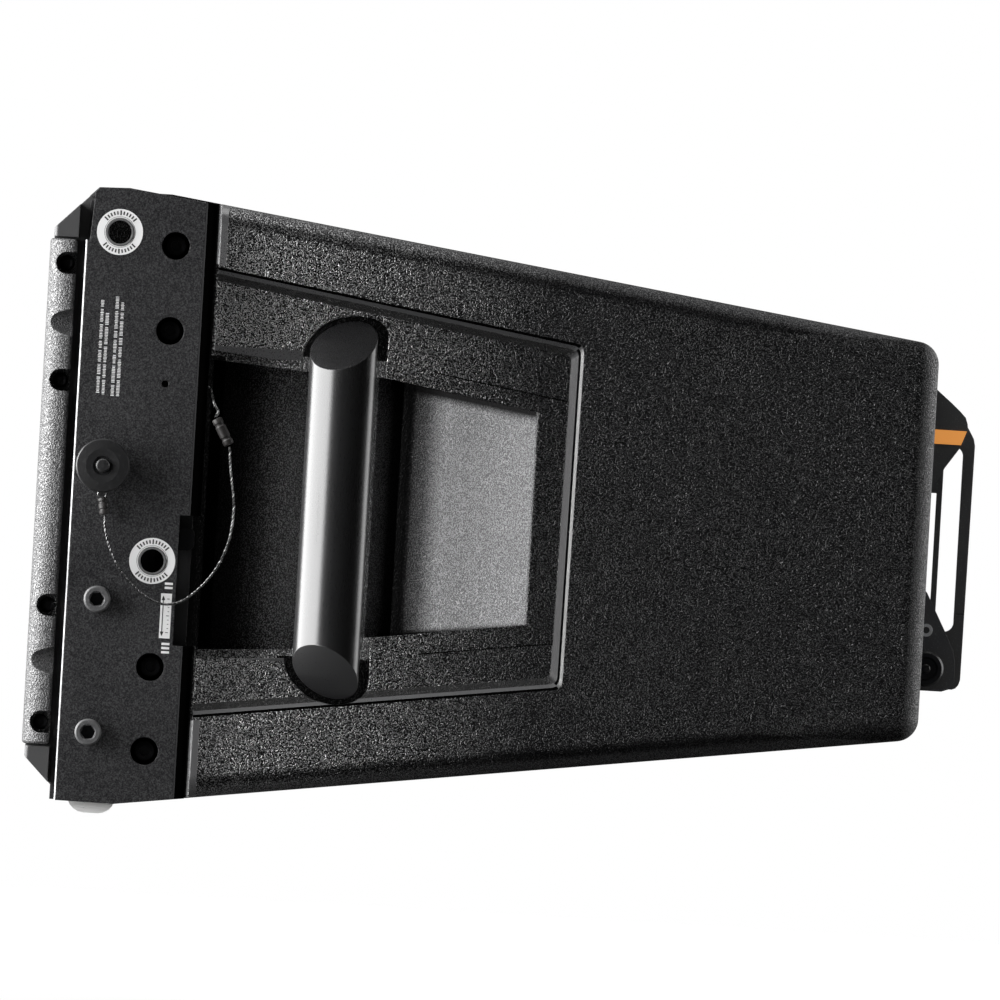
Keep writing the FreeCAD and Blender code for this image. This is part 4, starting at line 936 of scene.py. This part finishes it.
def damping_foam():
    """Pads under the top and over the bottom, egg-crate shaped on their inner faces."""
    egg_pitch = 26.0
    bm = bmesh.new()
    for sign in (1, -1):
        def place_pair(u, v):
            x, y = -194.0 + 388.0 * u, 256.0 + 63.0 * v
            flat = min(1.0, min(u, 1 - u) * 30, min(v, 1 - v) * 8)
            wave = 0.5 + 0.5 * (math.sin(x * 2 * math.pi / egg_pitch)
                                * math.cos((y - 256.0) * 2 * math.pi / egg_pitch))
            inner = 87.2 + (1 - flat) * 3.0 + 7.5 * (1 - wave) * flat
            return (point(x, y, sign * (101.5 - 0.5 * (1 - flat))), point(x, y, sign * inner))
        add_sheet(bm, 92, 20, place_pair)
    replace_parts(make("damping_foam_pads", bm, ["foam"]), "damping_foam")


# ------------------------------------------------ lanyards and their fittings
# x, y, z along the right lanyard, from its pin to its upper crimp
CABLE_PATH = [
    (289.7, 33.6, -9.7), (290.4, 33.8, -14.3), (291.2, 35.6, -22.1), (291.6, 39.5, -30.9),
    (291.6, 44.1, -37.3), (291.4, 50.6, -43.7), (291.2, 56.9, -48.0), (291.0, 63.1, -50.1),
    (290.6, 69.2, -49.5), (290.2, 75.1, -46.5), (289.8, 82.5, -39.4), (289.5, 88.2, -31.3),
    (289.2, 91.9, -22.5), (289.0, 93.9, -14.0), (288.8, 94.5, -1.0), (288.4, 92.0, 15.7),
    (288.0, 90.9, 26.6)]
# x, y, z from the upper crimp in to the ball at the end
TIE_PATH = [
    (287.2, 83.4, 40.4), (286.2, 84.6, 42.6), (284.6, 83.0, 45.6), (281.0, 81.2, 50.6),
    (278.6, 80.2, 53.8), (277.5, 78.0, 54.6), (277.5, 74.6, 54.6)]
# radius, height of the ball, in metres
TIE_BALL = [(0, -0.0016), (0.0009, -0.0014), (0.0016, -0.0006), (0.0017, 0.0),
            (0.0016, 0.0006), (0.0009, 0.0014), (0, 0.0016)]
CORE_RADIUS, STRAND_RADIUS, STRAND_LAY, STRAND_COUNT = 0.00026, 0.00022, 0.0052, 6
CRIMP_RADIUS = 0.00255
# ends of a shoulder, waist and barrel of each crimp, as fractions of its length
PIN_CRIMP = (0.06, 0.20, 0.25, 0.33, 0.38)
LANYARD_CRIMP = (0.05, 0.17, 0.21, 0.27, 0.31)


def add_cable(bm, points, per, step):
    """Six strands laid round a core, along points mirrored to their side."""
    path = resample(curve_points(points, per), step)
    distances = [0.0]
    for a, b in zip(path, path[1:]):
        distances.append(distances[-1] + (b - a).length)
    add_tube(bm, path, CORE_RADIUS, sides=6)
    for strand in range(STRAND_COUNT):
        helix = []
        for (p, u, v), distance in zip(path_frames(path), distances):
            a = 2 * math.pi * (distance / STRAND_LAY + strand / STRAND_COUNT)
            reach = CORE_RADIUS + STRAND_RADIUS * 0.72
            helix.append(p + (u * math.cos(a) + v * math.sin(a)) * reach)
        add_tube(bm, helix, STRAND_RADIUS, sides=5)


def lanyards():
    for side, sign in SIDES:
        def mirrored(points):
            return [(sign * x, y, z) for x, y, z in points]
        pin = "quick_pin_" + side
        bm = bmesh.new()
        add_cable(bm, mirrored(CABLE_PATH), per=14, step=0.0007)
        cable = make("lanyard_cable_" + side, bm, ["cable"], body=None,
                     angle=60)
        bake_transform(cable)
        bm = bmesh.new()
        add_cable(bm, mirrored(TIE_PATH), per=10, step=0.0006)
        add_lathe(bm, TIE_BALL, point(sign * 277.5, 72.5, 54.6), Vector((0, 1, 0)), sides=16)
        make("lanyard_tie_" + side, bm, ["cable"], angle=60)
        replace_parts(cable, "lanyard_" + side)
        # split ring at the pin, next to the crimp sleeve
        angles = [2 * math.pi * k / 28 for k in range(28)]
        ring = [point(sign * (291.3 + 0.5 * math.sin(a)), 31.6 + 1.9 * math.cos(a),
                      0.2 + 2.3 * math.sin(a)) for a in angles]
        bm = bmesh.new()
        add_tube(bm, ring, 0.00042, sides=8, closed=True)
        make("split_ring_" + side, bm, ["cable"], body=pin, angle=60)


def add_crimp(bm, start, end, stations):
    """A soft-cornered barrel with two pressed waists, alike from both ends."""
    a, b = point(*start), point(*end)
    length = (b - a).length
    half = [(0.0, 0.0), (0.72, 0.0), (0.93, 0.02)]
    half += zip((1.0, 1.0, 0.86, 0.86, 1.0), stations)
    whole = half + [(radius, 1.0 - height) for radius, height in reversed(half)]
    profile = [(radius * CRIMP_RADIUS, height * length) for radius, height in whole]
    add_lathe(bm, profile, a, b - a, sides=24)


def crimps():
    for side, sign in SIDES:
        bm = bmesh.new()
        add_crimp(bm, (sign * 289.4, 32.05, -0.9), (sign * 289.6, 33.5, -9.1), PIN_CRIMP)
        sleeve = make("pin_crimp_" + side, bm, ["sleeve"], body="quick_pin_" + side,
                      angle=28)
        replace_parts(sleeve, "pin_ferrule_" + side)
    bm = bmesh.new()
    for _, sign in SIDES:
        add_crimp(bm, (sign * 287.9, 90.7, 27.4), (sign * 287.3, 83.9, 39.5), LANYARD_CRIMP)
    sleeves = make("lanyard_crimps", bm, ["sleeve"], angle=28)
    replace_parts(sleeves, "lanyard_ferrules")


# --------------------------------------------------------- side plate markings
# Y, Z of the labelled holes
UPPER_HOLE, LOWER_HOLE, MIDDLE_HOLE = (32.9, 125.6), (57.2, -29.9), (31.3, 14.1)
# distances of the prints' two faces from the middle
RING_PRINT, PLATE_PRINT, SCALE_PRINT = (284.74, 284.78), (284.53, 284.60), (284.62, 284.68)
# Y, lowest Z, highest Z of the printed rows
NOTE_ROWS = ((26.6, 48.6, 93.0), (29.2, 48.0, 87.0), (33.6, 47.5, 96.0), (36.2, 47.5, 92.0))


def ring_scale_marks():
    """Tick scales above and below the labelled holes, and fine rings round two of them."""
    bm = bmesh.new()
    for _, sign in SIDES:
        for hole in (UPPER_HOLE, LOWER_HOLE, MIDDLE_HOLE):
            for middle in (90, 270):
                for i in range(-5, 6):
                    inner, outer = (8.3, 10.0) if i % 5 else (8.0, 10.3)
                    angle = math.radians(middle + i * 9.6)
                    tick = radial_tick(hole, angle, inner, outer, half=0.36)
                    side_prism(bm, tick, sign, RING_PRINT)
    for _, sign in SIDES:
        for hole in (UPPER_HOLE, LOWER_HOLE):
            for i in range(40):
                side_prism(bm, ring_piece(hole, 7.25, 7.42, i, 40), sign, RING_PRINT)
    make("ring_scale_marks", bm, ["ink"], smooth=False)


def ruled_lines():
    """Rows of plain strokes that spell nothing, short bars, and the slide scale's ground."""
    bm = bmesh.new()
    for _, sign in SIDES:
        def mark(*box):
            side_prism(bm, rectangle(*box), sign, PLATE_PRINT, material=1)
        for y, low, high in NOTE_ROWS:
            z = low
            while z < high - 1.0:
                word_end = min(high, z + random.uniform(3.0, 8.5))
                while z < word_end:
                    half = random.choice((0.62, 0.80, 0.80))
                    width = random.uniform(0.22, 0.50)
                    mark(y - half, y + half, z, z + width)
                    z += width + 0.34
                z += 0.9
        for middle, count in ((-41.3, 2), (-71.0, 3)):
            for i in range(count):
                z = middle + (i - (count - 1) / 2) * 2.0
                mark(63.9, 67.7, z - 0.55, z + 0.55)
        mark(62.4, 67.6, -66.4, -45.0)
    make("ruled_lines", bm, ["pale", "white"], smooth=False)


def slide_scale_marks():
    """A double-ended arrow beside nine ticks."""
    arrow_y, tick_y = 63.6, 66.6
    bm = bmesh.new()
    for _, sign in SIDES:
        shaft = rectangle(arrow_y - 0.2, arrow_y + 0.2, -64.0, -47.4)
        side_prism(bm, shaft, sign, SCALE_PRINT)
        for tip, way in ((-46.0, 1), (-65.4, -1)):
            base = tip - 2.2 * way
            head = [(arrow_y - 0.9, base), (arrow_y + 0.9, base), (arrow_y, tip)]
            side_prism(bm, head[::way], sign, SCALE_PRINT)
        for i in range(9):
            z = -63.6 + i * 2.0
            length = 1.3 if i % 4 == 0 else 0.7
            tick = rectangle(tick_y - length, tick_y, z - 0.16, z + 0.16)
            side_prism(bm, tick, sign, SCALE_PRINT)
    make("slide_scale_marks", bm, ["ink"], smooth=False)


# ------------------------------------------------------ rear panel details
KNOB_X, KNOB_Z = 74.0, 38.0
PANEL_PRINT = (402.02, 402.07)     # depths of the print's two faces
BAR_HEIGHTS = (9.2, 8.4, 7.4, 6.6, 5.4, 4.8, 3.6, 3.0, 2.2, 1.6)


def panel_line_marks():
    """The knob's tick scale, and broken rings in three rows of two."""
    bm = bmesh.new()
    for i in range(11):
        inner, outer = (11.2, 13.4) if i % 5 == 0 else (11.6, 12.8)
        angle = math.radians(-60 + i * 30)
        tick = radial_tick((KNOB_X, KNOB_Z), angle, inner, outer, half=0.28)
        add_prism(bm, tick, "Y", *PANEL_PRINT)
    for z in (6, -25.5, -57):
        for x in (72, 112):
            for k in range(48):
                if k % 12 not in (0, 11):
                    add_prism(bm, ring_piece((x, z), 13.3, 13.65, k, 48), "Y", *PANEL_PRINT)
    make("panel_line_marks", bm, ["pale"], smooth=False)


def display_level_bars():
    bm = bmesh.new()
    for i, height in enumerate(BAR_HEIGHTS):
        x = 102.0 + i * 2.8
        add_prism(bm, rectangle(x, x + 1.3, 61.0, 61.0 + height), "Y", 402.32, 402.36)
    make("display_level_bars", bm, ["glow"], smooth=False)


def knob_pointer():
    bm = bmesh.new()
    outline = rectangle(KNOB_X - 0.45, KNOB_X + 0.45, KNOB_Z + 1.6, KNOB_Z + 6.8)
    add_prism(bm, outline, "Y", 416.15, 416.6)
    make("knob_pointer", bm, ["pale"], body="control_knob", smooth=False)


# -------------------------------------------------------------------- stage
def build_floor():
    """A pale disc that fades out at its rim and is invisible from below."""
    mesh = bpy.data.meshes.new("floor")
    bm = bmesh.new()
    bmesh.ops.create_circle(bm, cap_ends=True, segments=96, radius=2.6)
    bm.to_mesh(mesh)
    bm.free()
    floor = bpy.data.objects.new("floor", mesh)
    bpy.context.scene.collection.objects.link(floor)
    floor.location = (0, 0, -0.062)
    k = Nodes("pale_floor")
    k.set("Roughness", 0.8)
    k.set("Specular IOR Level", 0.1)
    k.set("Emission Color", grey(1))
    # bright to the camera, dark to the light it would bounce
    seen = k.node("ShaderNodeLightPath").outputs["Is Camera Ray"]
    k.set("Base Color", k.mix(seen, grey(0.10), grey(0.80)))
    k.set("Emission Strength", k.mul(seen, 0.80))
    radius = k.node("ShaderNodeVectorMath", {0: k.coords}, operation="LENGTH").outputs["Value"]
    fade = k.ramp(radius, span=(0.7, 2.3), to=(1.0, 0.0))
    from_below = k.node("ShaderNodeNewGeometry").outputs["Backfacing"]
    k.set("Alpha", k.mul(fade, k.off(from_below)))
    mesh.materials.append(k.material)


AIM = (0.12, 0.0, 0.15)     # what the main lights point at


def around(azimuth, elevation, distance):
    """A place about AIM; the azimuth turns from +X towards -Y."""
    a, e = math.radians(azimuth), math.radians(elevation)
    return (AIM[0] + distance * math.cos(a) * math.cos(e),
            AIM[1] - distance * math.sin(a) * math.cos(e),
            AIM[2] + distance * math.sin(e))


def area(name, place, width, radiance, height=None, target=AIM):
    """A rectangular light, square unless a height is given."""
    data = bpy.data.lights.new(name, "AREA")
    data.shape = "RECTANGLE"
    data.size = width
    data.size_y = height or width
    data.energy = radiance * math.pi * width * (height or width)
    light = bpy.data.objects.new(name, data)
    bpy.context.scene.collection.objects.link(light)
    light.location = place
    aim = Vector(target) - Vector(place)
    light.rotation_euler = aim.to_track_quat("-Z", "Y").to_euler()
    light.visible_camera = False
    return light


def part_collection(name, names):
    collection = bpy.data.collections.new(name)
    for part in names:
        collection.objects.link(PARTS[part])
    return collection


def only(light, parts, blockers=None):
    """Lights these parts only, with shadows from the blockers, or else from the parts."""
    linking = light.light_linking
    linking.receiver_collection = part_collection(light.name + "_receiver", parts)
    linking.blocker_collection = part_collection(light.name + "_blocker", blockers or parts)


def spare(light, parts):
    """Lights everything but these parts."""
    collection = part_collection(light.name + "_spared", parts)
    for member in collection.collection_objects:
        member.light_linking.link_state = "EXCLUDE"
    light.light_linking.receiver_collection = collection


def build_lights():
    front_box = area("front_softbox", around(azimuth=82, elevation=4, distance=1.6),
                     width=2.3, height=2.0, radiance=14.0)
    rear_box = area("rear_softbox", around(azimuth=-107, elevation=4, distance=1.7),
                    width=2.1, height=1.8, radiance=3.6)
    area("top_softbox", around(azimuth=60, elevation=84, distance=2.2),
         width=1.8, radiance=3.6)
    # light that reaches past the side plate into the recess
    pocket = area("pocket_light", around(azimuth=62, elevation=4, distance=1.7),
                  target=(0.21, 0.0, 0.15), width=0.35, height=0.9, radiance=100.0)
    fill = area("recess_fill", around(azimuth=30, elevation=32, distance=1.6),
                target=(0.24, -0.06, 0.15), width=0.9, radiance=3.0)
    plate_fill = area("plate_fill", around(azimuth=38, elevation=-8, distance=1.7),
                      target=(0.28, -0.17, 0.15), width=0.9, radiance=1.8)
    # close lights that draw the highlights on the handle bar
    grip_z = Z0 * MM
    bar_key = area("grip_light", (0.283, -0.131, grip_z), target=(0.283, 0.0, grip_z),
                   width=0.096, height=0.30, radiance=13.6)
    bar_rim = area("grip_rim_light", (0.2462, -0.055, grip_z), target=(0.2462, -1.0, grip_z),
                   width=0.0115, height=0.26, radiance=2.3)
    # the amplifier board as the only blocker leaves a light all but free of shadows
    only(pocket, ["cabinet_shell"], ["amp_board"])
    only(fill, ["cabinet_shell"])
    only(plate_fill, ["side_plate_right", "side_plate_left"], ["amp_board"])
    only(bar_key, ["handle_bar_right"])
    only(bar_rim, ["handle_bar_right"])
    spare(front_box, ["handle_bar_right"])
    spare(rear_box, ["handle_bar_right"])


def build_world():
    """White to the camera; it lights mostly what faces -X, away from the camera."""
    world = bpy.data.worlds.new("studio")
    bpy.context.scene.world = world
    world.use_nodes = True
    k = Graph(world.node_tree)
    coords = k.node("ShaderNodeTexCoord").outputs["Generated"]
    across = k.node("ShaderNodeSeparateXYZ", {0: coords}).outputs[0]
    strength = k.ramp(across, span=(-0.35, -0.80), to=(0.035, 0.5))
    lighting = k.node("ShaderNodeBackground", {0: grey(1), 1: strength}).outputs[0]
    backdrop = k.node("ShaderNodeBackground", {0: grey(1), 1: 1.0}).outputs[0]
    seen = k.node("ShaderNodeLightPath").outputs["Is Camera Ray"]
    mixed = k.node("ShaderNodeMixShader", {0: seen, 1: lighting, 2: backdrop}).outputs[0]
    k.node("ShaderNodeOutputWorld", {0: mixed})
    bpy.context.scene.view_settings.view_transform = "Standard"
    bpy.context.scene.view_settings.look = "None"


def build_camera():
    """A long lens square to the right side (+X), rolled a little."""
    roll = math.radians(3.3)
    distance, view_width = 20.0, 0.4762     # metres
    data = bpy.data.cameras.new("camera")
    camera = bpy.data.objects.new("camera", data)
    bpy.context.scene.collection.objects.link(camera)
    data.sensor_width = 36.0
    data.lens = data.sensor_width * distance / view_width
    data.clip_start, data.clip_end = 1.0, 200.0
    right = Vector((0, math.cos(roll), math.sin(roll)))
    up = Vector((0, -math.sin(roll), math.cos(roll)))
    back = right.cross(up)
    place = point(284.5, 220.9, 8.6) + back * distance
    turn = Matrix((right, up, back)).transposed().to_4x4()
    camera.matrix_world = Matrix.Translation(place) @ turn
    bpy.context.scene.camera = camera


# -------------------------------------------------------------------- build
paint_parts()
perforated_grille()
random.seed(7)     # for the foam's unevenness and the printed strokes
grille_foam()
damping_foam()
lanyards()
crimps()
ring_scale_marks()
ruled_lines()
slide_scale_marks()
panel_line_marks()
display_level_bars()
knob_pointer()
build_floor()
build_lights()
build_world()
build_camera()
